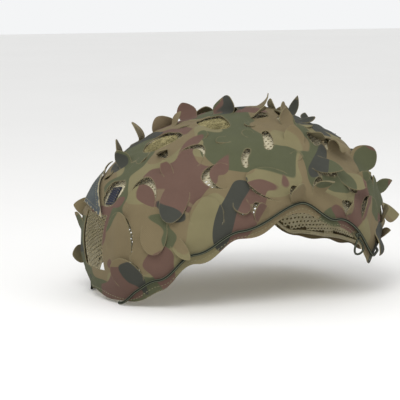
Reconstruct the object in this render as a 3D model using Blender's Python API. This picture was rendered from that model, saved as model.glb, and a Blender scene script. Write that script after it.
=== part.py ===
"""Leaf-cut camouflage cover for a high-cut helmet, as it sits when fitted.

An openwork net cap carries one camouflage cloth.  Arcs cut in the cloth open
into round lobes and pointed leaves that lift, curl and show the net below.  A
pointed tab and a webbing strip stand at the front window, loop-pile patches
are sewn on the net, and an elastic cord runs round the lower edge.

Lengths are millimetres until a mesh is stored, in metres.  +Z is up, the
wearer looks along -Y and the wearer's left is +X.  The origin lies on the
inner face of the crown, where the helmet bears.

A place on the dome is a "plane" point: degrees down from the crown, laid out
flat as seen from above.  Azimuth 0 is the front and 90 the wearer's left.
"""

import math
from collections import namedtuple

import bmesh
import bpy
import numpy as np
from mathutils.geometry import delaunay_2d_cdt

METRES = 0.001
MM_PER_DEGREE = 2.3
MEAN_RADIUS = 135.0
LOWEST_POLAR = 118.0

# The dome that the cover is fitted on, with the sheets' offsets from it.
HALF_WIDTH = 122.0
FRONT_REACH = 177.0
REAR_REACH = 117.0
CROWN_HEIGHT = 113.5
SKIRT_DEPTH = 160.0
PLAN_POWER = 2.15
FRONT_POWER = 2.2
REAR_POWER = 1.7
NOSE_DOWN = 9.0

NET_THICKNESS = 1.2
NET_MIDDLE = -5.9
CLOTH_THICKNESS = 1.0
CLOTH_SEAT = -3.9
TRIM_THICKNESS = 1.0
TRIM_MIDDLE = -4.3
TAB_RISE = 2.3

CORD_RADIUS = 1.3
CORD_GAP = 0.75
CORD_ABOVE_HEM = 3.6
CORD_START = 13.0
CORD_CLIMB = 9.0
CORD_POINTS = 62
KNOT_AZIMUTH = 116.0
KNOT_RADIUS = 2.7
KNOT_GAP = 0.2
LOOP_LENGTH = 15.0
LOOP_WIDTH = 8.0
LOOP_RADIUS = 1.0
LOOP_SEAT = 0.4
LOOP_SPREAD = 2.0
LOOP_SHARE = 0.04
LOOP_POINTS = 18

# How far down from the crown the lower edge lies, in degrees of polar angle.
HemRow = namedtuple("HemRow", "azimuth polar")
HEM = (
    HemRow(0, 100.0),
    HemRow(18, 102.5),
    HemRow(30, 98.5),
    HemRow(43, 91.0),
    HemRow(60, 84.5),
    HemRow(88, 77.0),
    HemRow(104, 88.0),
    HemRow(134, 112.0),
    HemRow(156, 114.0),
    HemRow(180, 115.0),
)
HEM_STEP = 5.0
HEM_RIPPLE = 0.7
HEM_RIPPLES = 17
NET_HEM_SHORTER = 1.5

WINDOW_HALF = 9.0
WINDOW_TOP = 74.5
WINDOW_FOOT = 92.0
NET_WINDOW_INSET = 0.6

# The cloth stands off the net in soft puffs and is sewn down at its edges.
Wave = namedtuple("Wave", "across along phase height")
PUFF_MEAN = 3.7
PUFF_WAVES = (
    Wave(0.21, 0.06, 0.4, 0.7),
    Wave(-0.09, 0.19, 1.9, 0.6),
    Wave(0.13, 0.27, 4.1, 0.4),
)
SEAM_WIDTH = 11.0
Puff = namedtuple("Puff", "azimuth polar spread height")
BIG_PUFFS = (
    Puff(146, 66, 17, 3.6),
    Puff(150, 95, 16, 3.0),
    Puff(96, 66, 14, 2.0),
    Puff(-146, 66, 17, 3.0),
)

# One row for each leaf: where its root lies, which way it points (0 down to
# the hem, 90 towards larger azimuth, 180 to the crown), its cut length and
# width, how steeply it stands at the root, how much it bends on to its tip,
# how pointed it is, and its length as it lies over the length of its opening.
Leaf = namedtuple("Leaf", "azimuth polar heading length width lift curl point reach")
LEAVES = (
    # brow and temple, wearer's left
    Leaf(20, 95, -172, 22, 36, 10, -12, 0.1, 1.2),
    Leaf(17, 85.5, 172, 33, 38, 10, -16, 0.1, 1.15),
    Leaf(24, 71, -175, 29, 31, 10, -16, 0.1, 0.76),
    Leaf(30, 77, 2, 21, 28, 10, -12, 0.0, 1.25),
    Leaf(36, 64.5, -1, 26, 30, 10, -14, 0.0, 1.25),
    Leaf(48, 76.5, 178, 22, 34, 8, -14, 0.0, 1.1),
    Leaf(37, 82.5, 40, 10, 14, 46, -40, 0.2, 2.2),
    # side, from the front opening to the rear petals
    Leaf(56, 58, -88, 22, 30, 12, -10, 0.1, 0.76),
    Leaf(36, 51.5, 170, 24, 27, 10, -14, 0.1, 0.74),
    Leaf(61, 69, 12, 12, 16, 12, 14, 0.2, 1.2),
    Leaf(82, 65, -118, 32, 34, 12, -14, 0.2, 1.15),
    Leaf(70, 77, -160, 16, 16, 18, 10, 0.5, 1.2),
    Leaf(88, 73, -165, 16, 15, 30, 22, 0.2, 1.7),
    Leaf(97, 72, 150, 18, 14, 36, 46, 0.3, 1.6),
    Leaf(105, 57, 36, 22, 22, 14, 10, 0.8, 1.25),
    Leaf(101, 45, 160, 18, 20, 18, 14, 0.4, 1.1),
    Leaf(124, 43, -60, 18, 18, 22, 18, 0.3, 1.1),
    # rear shoulder and nape
    Leaf(118, 66, 20, 22, 24, 12, 14, 0.3, 1.2),
    Leaf(126, 57, 150, 22, 24, 24, 190, 0.1, 1.3),
    Leaf(137, 66, 95, 21, 24, 16, 70, 0.1, 1.2),
    Leaf(114, 84, -150, 16, 16, 20, 16, 0.5, 1.1),
    Leaf(125, 92.5, 164, 27, 34, 10, -16, 0.0, 1.05),
    Leaf(149, 82, 100, 14, 13, 48, 20, 0.7, 1.5),
    Leaf(134, 97.5, -28, 11, 22, 42, -26, 0.2, 2.3),
    Leaf(152, 91, 40, 20, 22, 22, 12, 0.6, 1.25),
    # front slope, seen against the sky
    Leaf(-22, 66, -165, 20, 22, 34, -4, 0.6, 1.1),
    Leaf(-19, 56, 160, 18, 18, 46, 20, 0.1, 1.1),
    Leaf(4, 57, -120, 16, 14, 34, 30, 0.3, 1.2),
    Leaf(-21, 46.5, 168, 20, 21, 54, 62, 0.1, 1.1),
    Leaf(-10, 33, -170, 14, 10, 62, -6, 0.9, 1.3),
    # crown
    Leaf(22, 12.5, -172, 18, 26, 76, -8, 0.1, 1.05),
    Leaf(-30, 25, -80, 18, 18, 38, 40, 0.3, 1.2),
    Leaf(88, 15, 40, 16, 16, 24, 36, 0.4, 1.1),
    Leaf(150, 8, 20, 18, 18, 22, 44, 0.2, 1.1),
    Leaf(133, 27, 170, 18, 20, 28, 40, 0.2, 1.1),
    Leaf(168, 26, 60, 18, 9, 50, 60, 0.9, 1.3),
    Leaf(112, 33, 170, 18, 18, 26, 26, 0.3, 1.1),
)

# Where the table ends a rule goes on: leaves on a spiral, in a few kinds.
FILL_TURN = 137.508
FILL_COUNT = 900
FILL_SPREAD = 112.0
FILL_CLEARANCE = 2.5
Kind = namedtuple("Kind", "length width lift curl point reach")
FILL_KINDS = (
    Kind(28, 32, 10, -16, 0.0, 1.05),
    Kind(24, 26, 14, -4, 0.3, 1.05),
    Kind(26, 34, 10, -15, 0.0, 1.0),
    Kind(20, 24, 24, 36, 0.2, 1.1),
    Kind(30, 28, 10, -16, 0.1, 1.0),
    Kind(22, 20, 20, 18, 0.5, 1.15),
)
SMALL_KIND = Kind(16, 18, 16, 16, 0.2, 1.1)
FILL_HEADINGS = (10, 165, -60, 95, 30, -140, 60)

LEAF_NECK = 0.82
LEAF_GAP = 0.11
LEAF_SIDES = 9
LEAF_ROOT_BEND = 0.25
LEAF_STEPS = 12
LEAF_SHARPNESS = 0.9

# Points inside a leaf, as shares of its width and of its length.
InnerPoint = namedtuple("InnerPoint", "across along")
INNER_POINTS = (
    InnerPoint(0.22, 0.24),
    InnerPoint(-0.22, 0.24),
    InnerPoint(0.0, 0.52),
    InnerPoint(0.24, 0.52),
    InnerPoint(-0.24, 0.52),
    InnerPoint(0.0, 0.78),
)

# The circle that a leaf takes up, as shares of its length and of its width.
FOOTPRINT_LENGTH = 0.62
FOOTPRINT_WIDTH = 0.56

# Openings in the cloth: beside the tab over the webbing, over the pile patches,
# near the crest, and a curved slit in the side.
SIDE_OPENING = ((3.5, 64.5), (9, 62.5), (14, 63), (14.5, 67), (10.5, 71.5), (4.5, 72))
FRONT_PILE_OPENING = ((1, 48.5), (-5, 43), (-1, 37.5), (12, 36), (23, 37.5), (20, 43), (14, 48), (7, 50))
CROWN_PILE_OPENING = ((4, 24), (4, 18.5), (28, 16), (48, 21), (56, 28.5), (44, 31.5), (22, 29))
CREST_OPENING = ((81, 33), (88, 33), (88, 39), (84, 45.5), (78, 46), (80, 40))
SIDE_SLIT = ((67, 43.5), (64, 47), (63, 51), (64.5, 54), (67, 53.5), (66.5, 49.5), (70, 45))
OPENINGS = (SIDE_OPENING, FRONT_PILE_OPENING, CROWN_PILE_OPENING, CREST_OPENING, SIDE_SLIT)
OPENING_PARTS = 2

# The pointed tab over the window and the webbing, corners by azimuth and polar.
TAB_CORNERS = ((-10, 61), (8, 75.5), (-16, 74))
STRAP_CORNERS = ((4.4, 65.2), (9.8, 64.2), (10.3, 70.6), (5.6, 71))

Patch = namedtuple("Patch", "name azimuth polar heading length width")
PATCHES = (
    Patch("pile_patch_crown", 27, 23.5, 60, 36, 44),
    Patch("pile_patch_front", 7, 43.5, 20, 36, 34),
)
PATCH_SIDES = 24
PATCH_SQUARENESS = 3.0
TRIM_SPACING = 9.0

# Base colour (linear) and roughness of each material.
Finish = namedtuple("Finish", "red green blue roughness")
FINISHES = {
    "spacer_net_cream": Finish(0.58, 0.53, 0.41, 0.9),
    "camouflage_cloth": Finish(0.14, 0.13, 0.08, 0.85),
    "slate_cloth": Finish(0.055, 0.058, 0.06, 0.8),
    "dark_webbing": Finish(0.012, 0.012, 0.02, 0.6),
    "loop_pile_tan": Finish(0.26, 0.22, 0.1, 1.0),
    "elastic_cord_dark_green": Finish(0.02, 0.025, 0.015, 0.7),
}

BASE_SPACING = 23.0
NET_CLEARANCE = 7.2
TRIM_CLEARANCE = 3.6
BASE_CLEARANCE = 9.0
NET_SPACING = 16.0


def along_hem(azimuth):
    """Polar angle of the lower edge at each azimuth, the same on both sides."""
    around = np.abs((np.asarray(azimuth, float) + 180.0) % 360.0 - 180.0)
    polar = np.zeros_like(around)
    for low, high in zip(HEM, HEM[1:]):
        inside = (around >= low.azimuth) & (around <= high.azimuth)
        share = (around - low.azimuth) / (high.azimuth - low.azimuth)
        blend = (1.0 - np.cos(np.pi * share)) / 2.0
        polar = np.where(inside, low.polar + (high.polar - low.polar) * blend, polar)
    return polar


def on_plane(azimuth, polar):
    turn = np.radians(azimuth)
    return np.stack([polar * np.sin(turn), -polar * np.cos(turn)], axis=-1)


def polar_of(plane):
    return np.hypot(plane[..., 0], plane[..., 1])


def azimuth_of(plane):
    return np.degrees(np.arctan2(plane[..., 0], -plane[..., 1]))


def dome(plane):
    """Points of the dome: half superellipsoids that meet over the ears."""
    polar = np.radians(polar_of(plane))
    azimuth = np.radians(azimuth_of(plane))
    x = np.sin(polar) * np.sin(azimuth)
    y = -np.sin(polar) * np.cos(azimuth)
    z = np.cos(polar)
    length = np.where(y < 0, FRONT_REACH, REAR_REACH)
    height = np.where(z > 0, CROWN_HEIGHT, SKIRT_DEPTH)
    ahead = (1.0 + np.cos(azimuth)) / 2.0
    power = FRONT_POWER * ahead + REAR_POWER * (1.0 - ahead)
    plan = np.abs(x / HALF_WIDTH) ** PLAN_POWER + np.abs(y / length) ** PLAN_POWER
    size = (plan ** (power / PLAN_POWER) + np.abs(z / height) ** power) ** (-1.0 / power)
    return np.stack([x, y, z], axis=-1) * size[..., None]


def tangents(plane, surface=dome, step=0.05):
    """Millimetres moved on a surface per degree moved on the plane, both ways."""
    across = np.array([step, 0.0])
    along = np.array([0.0, step])
    by_across = (surface(plane + across) - surface(plane - across)) / (2.0 * step)
    by_along = (surface(plane + along) - surface(plane - along)) / (2.0 * step)
    return by_across, by_along


def unit(vectors):
    return vectors / np.linalg.norm(vectors, axis=-1, keepdims=True)


def normals(plane):
    return unit(np.cross(*tangents(plane)))


def raised(plane, offset):
    return dome(plane) + normals(plane) * np.asarray(offset)[..., None]


def smooth(share):
    share = np.clip(share, 0.0, 1.0)
    return share * share * (3.0 - 2.0 * share)


def window_distance(plane):
    """Degrees from the front window, 0 inside it."""
    polar = polar_of(plane)
    aside = np.abs(azimuth_of(plane)) * np.sin(np.radians(polar)) - WINDOW_HALF
    below = np.maximum(WINDOW_TOP - polar, polar - WINDOW_FOOT)
    return np.hypot(np.maximum(aside, 0.0), np.maximum(below, 0.0))


def cloth_offset(plane):
    """Height of the leaf cloth over the dome: sewn edges, soft puffs between."""
    u, v = plane[..., 0], plane[..., 1]
    height = np.full(u.shape, PUFF_MEAN)
    for wave in PUFF_WAVES:
        height += wave.height * np.sin(wave.across * u + wave.along * v + wave.phase)
    for puff in BIG_PUFFS:
        away = plane - on_plane(puff.azimuth, puff.polar)
        height += puff.height * np.exp(-(away**2).sum(-1) / (2.0 * puff.spread**2))
    to_hem = along_hem(azimuth_of(plane)) - polar_of(plane)
    to_edge = np.minimum(to_hem, window_distance(plane) + 2.0)
    return CLOTH_SEAT + height * smooth(to_edge / SEAM_WIDTH)


def cloth(plane):
    return raised(plane, cloth_offset(plane))


def hem_outline(shorter=0.0, ripple=HEM_RIPPLE, step=HEM_STEP):
    azimuth = np.arange(-180.0, 180.0, step)
    wave = ripple * np.sin(np.radians(azimuth) * HEM_RIPPLES)
    return on_plane(azimuth, along_hem(azimuth) - shorter + wave)


def window_outline(inset=0.0, rows=4):
    """The front window's outline, its sides straight down the dome."""
    side = WINDOW_HALF - inset
    top = WINDOW_TOP + inset
    foot = WINDOW_FOOT - inset
    spread = np.linspace(-side, side, rows)
    drop = np.linspace(top, foot, rows + 1)[1:-1]
    azimuth = np.concatenate([spread, np.full(len(drop), side), spread[::-1], np.full(len(drop), -side)])
    polar = np.concatenate([np.full(rows, top), drop, np.full(rows, foot), drop[::-1]])
    return on_plane(azimuth / np.sin(np.radians(polar)), polar)


def outline_of(corners):
    table = np.array(corners, float)
    return on_plane(table[:, 0], table[:, 1])


class LeafCut:
    """One cut leaf: its outlines on the plane and its shape once lifted."""

    def __init__(self, leaf):
        self.leaf = leaf
        self.root = on_plane(leaf.azimuth, leaf.polar)
        by_across, by_along = tangents(self.root, cloth)
        self.normal = unit(np.cross(by_across, by_along))
        down = unit(np.stack([by_across, by_along], -1) @ self.root)
        side = unit(np.cross(self.normal, down))
        turn = math.radians(leaf.heading)
        self.forward = down * math.cos(turn) + side * math.sin(turn)
        self.aside = np.cross(self.forward, self.normal)
        self.to_plane = np.linalg.pinv(np.stack([by_across, by_along], -1))

    def outline(self, sides=LEAF_SIDES, growth=0.0):
        """Local points round the leaf from one root end to the other."""
        turn = np.linspace(0.0, np.pi, sides + 1)[1:-1]
        out, up = np.cos(turn), np.sin(turn)
        sharp = 1.0 + LEAF_SHARPNESS * self.leaf.point
        width = np.sign(out) * np.abs(out) ** sharp
        width *= LEAF_NECK + (1.0 - LEAF_NECK) * np.sqrt(up)
        x = width * (1.0 + growth * up) * self.leaf.width / 2.0
        y = up * (1.0 + growth) * self.leaf.length
        return np.stack([x, y], -1)

    def root_line(self, parts=3):
        half = LEAF_NECK * self.leaf.width / 2.0
        x = np.linspace(-half, half, parts + 1)
        return np.stack([x, np.zeros_like(x)], -1)

    def inner(self):
        """Local points inside the leaf, on which it bends."""
        return np.array(INNER_POINTS) * np.array([self.leaf.width, self.leaf.length])

    def plane_points(self, local):
        flat = local[:, :1] * self.aside + local[:, 1:] * self.forward
        return self.root + flat @ self.to_plane.T

    def lifted(self, local):
        """Where local points of the leaf stand once it is lifted and curled."""
        leaf = self.leaf
        foot = local * np.array([1.0, 0.0])
        start = self.plane_points(foot)
        points = cloth(start)
        share = (np.arange(LEAF_STEPS) + 0.5) / LEAF_STEPS
        for i, (_, y) in enumerate(local):
            part = share * y / leaf.length
            bend = leaf.lift * smooth(part / LEAF_ROOT_BEND) + leaf.curl * part
            run = y * leaf.reach / LEAF_STEPS
            angle = np.radians(bend)
            points[i] += self.forward * (np.cos(angle).sum() * run)
            points[i] += self.normal * (np.sin(angle).sum() * run)
        return points

    def footprint(self):
        middle = np.array([[0.0, self.leaf.length / 2.0]])
        centre = dome(self.plane_points(middle))[0]
        return centre, max(FOOTPRINT_LENGTH * self.leaf.length, FOOTPRINT_WIDTH * self.leaf.width)


def fill_leaves(taken):
    """Leaves by rule on a spiral over the dome, wherever there is room."""
    found = []
    circles = [LeafCut(leaf).footprint() for leaf in taken]
    line = cord_plane(np.arange(0.0, 360.0, HEM_STEP))
    cut_out = [split_sides(corners, OPENING_PARTS) for corners in (*OPENINGS, TAB_CORNERS)]
    edges = dome(np.concatenate([window_outline(rows=7), line, *cut_out]))
    for i in range(FILL_COUNT):
        polar = FILL_SPREAD * math.sqrt((i + 0.5) / FILL_COUNT)
        azimuth = (i * FILL_TURN + 180.0) % 360.0 - 180.0
        place = on_plane(azimuth, polar)
        if any(inside(place[None], outline)[0] for outline in cut_out):
            continue
        if window_distance(place) == 0.0 or polar > along_hem(azimuth):
            continue
        kind = FILL_KINDS[len(found) % len(FILL_KINDS)] if 2 * i < FILL_COUNT else SMALL_KIND
        heading = FILL_HEADINGS[len(found) % len(FILL_HEADINGS)]
        leaf = Leaf(azimuth, polar, heading, *kind)
        centre, radius = LeafCut(leaf).footprint()
        reach = [np.linalg.norm(centre - c) - r - radius for c, r in circles]
        edge = np.linalg.norm(edges - centre, axis=1).min() - radius
        if min(reach) < FILL_CLEARANCE or edge < 2.0 * FILL_CLEARANCE:
            continue
        circles.append((centre, radius))
        found.append(leaf)
    return found


def inside(points, outline):
    """True for each plane point that lies inside a closed outline."""
    x, y = points[:, 0], points[:, 1]
    result = np.zeros(len(points), bool)
    for (x0, y0), (x1, y1) in zip(outline, np.roll(outline, -1, axis=0)):
        crosses = (y0 > y) != (y1 > y)
        at = x0 + (y - y0) * (x1 - x0) / ((y1 - y0) or 1e-12)
        result ^= crosses & (x < at)
    return result


def ring_points(spacing, top=0.0):
    """Plane points in rings about the crown, a given distance apart."""
    rings = [np.zeros((1, 2))]
    polar = 0.0
    while polar < LOWEST_POLAR:
        polar += spacing / MM_PER_DEGREE
        around = 2.0 * math.pi * MEAN_RADIUS * math.sin(math.radians(min(polar, 90.0)))
        count = max(6, round(around / spacing))
        azimuth = np.arange(count) * 360.0 / count + top
        rings.append(on_plane(azimuth, np.full(count, polar)))
    return np.concatenate(rings)


class SheetPlan:
    """A cut pattern on the plane: outer edge, holes, leaves and loose points."""

    def __init__(self, outer):
        self.points = []
        self.edges = []
        self.shape = []
        self.holes = []
        self.flaps = []
        self.outer = outer
        self.add_loop(outer)

    def add_points(self, plane, shape):
        first = len(self.points)
        self.points += [tuple(p) for p in plane]
        self.shape += list(shape)
        return list(range(first, len(self.points)))

    def add_path(self, numbers, closed=False):
        self.edges += list(zip(numbers, numbers[1:]))
        if closed:
            self.edges.append((numbers[-1], numbers[0]))

    def add_loop(self, outline):
        numbers = self.add_points(outline, [None] * len(outline))
        self.add_path(numbers, closed=True)

    def add_hole(self, outline):
        self.add_loop(outline)
        self.holes.append(outline)

    def add_leaf(self, cut):
        root = self.add_points(cut.plane_points(cut.root_line()), [None] * 4)
        tongue = cut.outline()
        rim = cut.outline(sides=LEAF_SIDES - 1, growth=LEAF_GAP)
        fold = cut.inner()
        tongue_plane = cut.plane_points(tongue)
        rim_plane = cut.plane_points(rim)
        ends = cut.plane_points(cut.root_line())
        edge = self.add_points(tongue_plane, cut.lifted(tongue))
        self.add_points(cut.plane_points(fold), cut.lifted(fold))
        opening = self.add_points(rim_plane, [None] * len(rim))
        self.add_path(root)
        self.add_path([root[-1]] + edge + [root[0]])
        self.add_path([root[-1]] + opening + [root[0]])
        self.holes.append(np.concatenate([ends, rim_plane]))
        self.flaps.append(np.concatenate([ends, tongue_plane]))

    def add_base_points(self, plane, clearance):
        """Points of the plain cloth, kept clear of every outline and hole."""
        known = dome(np.array(self.points))
        keep = inside(plane, self.outer)
        for hole in self.holes:
            keep &= ~inside(plane, hole)
        places = dome(plane)
        for i in np.flatnonzero(keep):
            keep[i] = np.linalg.norm(known - places[i], axis=1).min() > clearance
        self.add_points(plane[keep], [None] * int(keep.sum()))

    def mesh(self, offset):
        """Vertices and triangles of the sheet's middle surface."""
        plane, _, faces, sources, _, _ = delaunay_2d_cdt(self.points, self.edges, [], 0, 1e-7)
        plane = np.array([tuple(p) for p in plane])
        faces = np.array([tuple(f) for f in faces])
        centres = plane[faces].mean(axis=1)
        keep = inside(centres, self.outer)
        for hole in self.holes:
            keep &= ~inside(centres, hole)
        for flap in self.flaps:
            keep |= inside(centres, flap)
        vertices = raised(plane, offset(plane))
        for i, source in enumerate(sources):
            lifted = [self.shape[s] for s in source if self.shape[s] is not None]
            if lifted:
                vertices[i] = lifted[0]
        return vertices, faces[keep]


def into_place(points):
    """Nose down as the cover sits, with the crown's inner face at the origin."""
    angle = math.radians(NOSE_DOWN)
    turn = np.array(
        [
            [1.0, 0.0, 0.0],
            [0.0, math.cos(angle), -math.sin(angle)],
            [0.0, math.sin(angle), math.cos(angle)],
        ]
    )
    crown = CROWN_HEIGHT + NET_MIDDLE - NET_THICKNESS / 2.0
    return ((points - np.array([0.0, 0.0, crown])) @ turn.T) * METRES


def material(name):
    look = FINISHES[name]
    finish = bpy.data.materials.new(name)
    finish.use_nodes = True
    shader = finish.node_tree.nodes["Principled BSDF"]
    shader.inputs["Base Color"].default_value = (look.red, look.green, look.blue, 1.0)
    shader.inputs["Roughness"].default_value = look.roughness
    shader.inputs["Metallic"].default_value = 0.0
    return finish


def sheet_object(name, vertices, faces, thickness, finish):
    """A thin closed sheet about its middle surface."""
    mesh = bpy.data.meshes.new(name)
    mesh.from_pydata(into_place(vertices).tolist(), [], faces.tolist())
    work = bmesh.new()
    work.from_mesh(mesh)
    loose = [v for v in work.verts if not v.link_faces]
    bmesh.ops.delete(work, geom=loose, context="VERTS")
    bmesh.ops.recalc_face_normals(work, faces=work.faces)
    if sum(f.normal.z * f.calc_area() for f in work.faces) < 0.0:
        bmesh.ops.reverse_faces(work, faces=work.faces)
    work.to_mesh(mesh)
    work.free()
    mesh.shade_smooth()
    mesh.materials.append(finish)
    piece = bpy.data.objects.new(name, mesh)
    bpy.context.collection.objects.link(piece)
    wall = piece.modifiers.new("wall", "SOLIDIFY")
    wall.thickness = thickness * METRES
    wall.offset = 0.0
    return piece


def make_net_cap():
    plan = SheetPlan(hem_outline(shorter=NET_HEM_SHORTER, ripple=0.0))
    plan.add_hole(window_outline(inset=NET_WINDOW_INSET))
    plan.add_base_points(ring_points(NET_SPACING), clearance=NET_CLEARANCE)
    vertices, faces = plan.mesh(lambda plane: np.full(len(plane), NET_MIDDLE))
    finish = material("spacer_net_cream")
    return sheet_object("net_cap", vertices, faces, NET_THICKNESS, finish)


def make_leaf_layer():
    plan = SheetPlan(hem_outline())
    plan.add_hole(window_outline())
    for corners in OPENINGS:
        plan.add_hole(split_sides(corners, OPENING_PARTS))
    for leaf in LEAVES + tuple(fill_leaves(LEAVES)):
        plan.add_leaf(LeafCut(leaf))
    plan.add_base_points(cord_plane(np.arange(0.0, 360.0, HEM_STEP)), BASE_CLEARANCE / 2.0)
    plan.add_base_points(ring_points(BASE_SPACING, top=7.0), BASE_CLEARANCE)
    vertices, faces = plan.mesh(cloth_offset)
    finish = material("camouflage_cloth")
    return sheet_object("leaf_layer", vertices, faces, CLOTH_THICKNESS, finish)


def small_sheet(name, outline, offset, finish):
    """A trimming cut to an outline and laid on the dome."""
    plan = SheetPlan(outline)
    plan.add_base_points(ring_points(TRIM_SPACING), clearance=TRIM_CLEARANCE)
    vertices, faces = plan.mesh(offset)
    return sheet_object(name, vertices, faces, TRIM_THICKNESS, finish)


def split_sides(corners, parts=4):
    """An outline with points along its straight sides, so that it can follow the dome."""
    outline = outline_of(corners)
    share = np.arange(parts)[:, None] / parts
    sides = [a + (b - a) * share for a, b in zip(outline, np.roll(outline, -1, axis=0))]
    return np.concatenate(sides)


def patch_outline(patch):
    """A rounded patch, drawn in its own millimetres and laid on the plane."""
    turn = np.arange(PATCH_SIDES) * 2.0 * np.pi / PATCH_SIDES
    corner = 2.0 / PATCH_SQUARENESS
    x = np.sign(np.cos(turn)) * np.abs(np.cos(turn)) ** corner * patch.width / 2.0
    y = np.sign(np.sin(turn)) * np.abs(np.sin(turn)) ** corner * patch.length / 2.0
    frame = LeafCut(Leaf(patch.azimuth, patch.polar, patch.heading, 1, 1, 0, 0, 0, 1))
    return frame.plane_points(np.stack([x, y], -1))


def make_trimmings():
    slate = material("slate_cloth")
    small_sheet("front_tab", split_sides(TAB_CORNERS), lambda p: cloth_offset(p) + TAB_RISE, slate)
    webbing = material("dark_webbing")
    flat = split_sides(STRAP_CORNERS)
    small_sheet("front_strap", flat, lambda p: np.full(len(p), TRIM_MIDDLE), webbing)
    pile = material("loop_pile_tan")
    for patch in PATCHES:
        outline = patch_outline(patch)
        small_sheet(patch.name, outline, lambda p: np.full(len(p), TRIM_MIDDLE), pile)


def cord_plane(azimuth):
    """The cord's line: from the brow's edge up to a steady distance above the hem."""
    from_front = np.abs((azimuth + 180.0) % 360.0 - 180.0)
    climb = smooth((from_front - CORD_START) / CORD_CLIMB)
    return on_plane(azimuth, along_hem(azimuth) - CORD_ABOVE_HEM * climb)


def tube_object(name, points, radius, finish):
    """A round cord along points, with closed ends."""
    curve = bpy.data.curves.new(name, "CURVE")
    curve.dimensions = "3D"
    curve.bevel_depth = radius * METRES
    curve.bevel_resolution = 2
    curve.use_fill_caps = True
    line = curve.splines.new("POLY")
    line.points.add(len(points) - 1)
    for point, place in zip(line.points, into_place(points)):
        point.co = (*place, 1.0)
    curve.materials.append(finish)
    piece = bpy.data.objects.new(name, curve)
    bpy.context.collection.objects.link(piece)
    return piece


def make_cord():
    elastic = material("elastic_cord_dark_green")
    azimuth = np.linspace(CORD_START, 360.0 - CORD_START, CORD_POINTS)
    plane = cord_plane(azimuth)
    rise = CLOTH_THICKNESS / 2.0 + CORD_GAP + CORD_RADIUS
    tube_object("draw_cord", raised(plane, cloth_offset(plane) + rise), CORD_RADIUS, elastic)

    tie = cord_plane(KNOT_AZIMUTH + np.array([-1.0, 0.0, 1.0]))
    out = normals(tie)[1]
    before, at_cord, after = raised(tie, cloth_offset(tie) + rise)
    below = unit(np.cross(after - before, out))
    down = unit(np.cross(np.cross(out, [0.0, 0.0, -1.0]), out))
    side = np.cross(out, down)
    knot = at_cord + below * (CORD_RADIUS + KNOT_GAP + KNOT_RADIUS) + out
    ball = bmesh.new()
    bmesh.ops.create_icosphere(ball, subdivisions=2, radius=KNOT_RADIUS)
    mesh = bpy.data.meshes.new("cord_knot")
    for vertex in ball.verts:
        vertex.co = into_place(knot + np.array(vertex.co))
    ball.to_mesh(mesh)
    ball.free()
    mesh.materials.append(elastic)
    bpy.context.collection.objects.link(bpy.data.objects.new("cord_knot", mesh))

    turn = np.linspace(LOOP_SHARE, 1.0 - LOOP_SHARE, LOOP_POINTS) * 2.0 * np.pi
    start = knot + down * (KNOT_RADIUS + LOOP_SEAT)
    drop = (1.0 - np.cos(turn)) / 2.0 * LOOP_LENGTH
    sway = np.sin(turn) * (1.0 - np.cos(turn)) / 2.0 * LOOP_WIDTH
    sway += LOOP_SPREAD * np.sin(turn)
    loop = start + drop[:, None] * down + sway[:, None] * side
    tube_object("cord_loop", loop, LOOP_RADIUS, elastic)


def main():
    for thing in list(bpy.data.objects):
        bpy.data.objects.remove(thing)
    make_net_cap()
    make_leaf_layer()
    make_trimmings()
    make_cord()


main()
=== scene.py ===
"""Dresses the leaf-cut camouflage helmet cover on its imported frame.

Lengths are millimetres on the dome's own axes until a mesh is stored, in
metres, in the row frame.  A "plane" point is degrees down from the crown, laid
out flat as seen from above: azimuth 0 is the front, 90 the wearer's left.
"""

import logging
import math
from collections.abc import Callable
from dataclasses import dataclass, field
from enum import Enum

import bmesh
import bpy
import numpy as np
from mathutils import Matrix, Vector
from mathutils.geometry import delaunay_2d_cdt
from mathutils.kdtree import KDTree


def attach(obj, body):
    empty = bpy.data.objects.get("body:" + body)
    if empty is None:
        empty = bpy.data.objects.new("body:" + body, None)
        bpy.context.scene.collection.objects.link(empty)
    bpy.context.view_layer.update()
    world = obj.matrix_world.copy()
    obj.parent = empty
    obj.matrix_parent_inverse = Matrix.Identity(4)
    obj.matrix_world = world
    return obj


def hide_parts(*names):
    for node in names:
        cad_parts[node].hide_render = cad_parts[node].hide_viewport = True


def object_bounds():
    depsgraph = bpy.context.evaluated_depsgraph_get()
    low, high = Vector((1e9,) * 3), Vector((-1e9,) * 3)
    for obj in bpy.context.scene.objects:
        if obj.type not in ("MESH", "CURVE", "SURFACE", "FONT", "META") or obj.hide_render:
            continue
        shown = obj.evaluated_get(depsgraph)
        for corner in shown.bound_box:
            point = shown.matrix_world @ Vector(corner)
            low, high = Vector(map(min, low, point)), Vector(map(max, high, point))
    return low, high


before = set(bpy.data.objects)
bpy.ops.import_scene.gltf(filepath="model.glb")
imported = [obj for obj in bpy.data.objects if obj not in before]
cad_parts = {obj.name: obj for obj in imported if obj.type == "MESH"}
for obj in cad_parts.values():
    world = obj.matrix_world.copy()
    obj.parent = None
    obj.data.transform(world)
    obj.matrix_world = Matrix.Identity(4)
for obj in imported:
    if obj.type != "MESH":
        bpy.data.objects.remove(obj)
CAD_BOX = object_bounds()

LOG = logging.getLogger("helmet_cover")
MM = 0.001
BODY = "root"
MM_PER_DEGREE = 2.3
MEAN_RADIUS = 135.0
LOWEST_POLAR = 118.0
WAVE_TURNS = 20.0
PRINT_PLACE = "print_at"
CUT_EDGE = "edge"
UV_NAME = "cloth_uv"

NodeTree = bpy.types.NodeTree
Socket = bpy.types.NodeSocket


class Hold(Enum):
    """How a cloth is held."""

    STRETCHED = "stretched"
    LAID = "laid"


class Half(Enum):
    """The two halves that the net is made in."""

    LEFT = 1
    RIGHT = -1


# How far each half of the net reaches past the middle.
HALF_OVERLAP = {Half.LEFT: 3.0, Half.RIGHT: 1.3}


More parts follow.
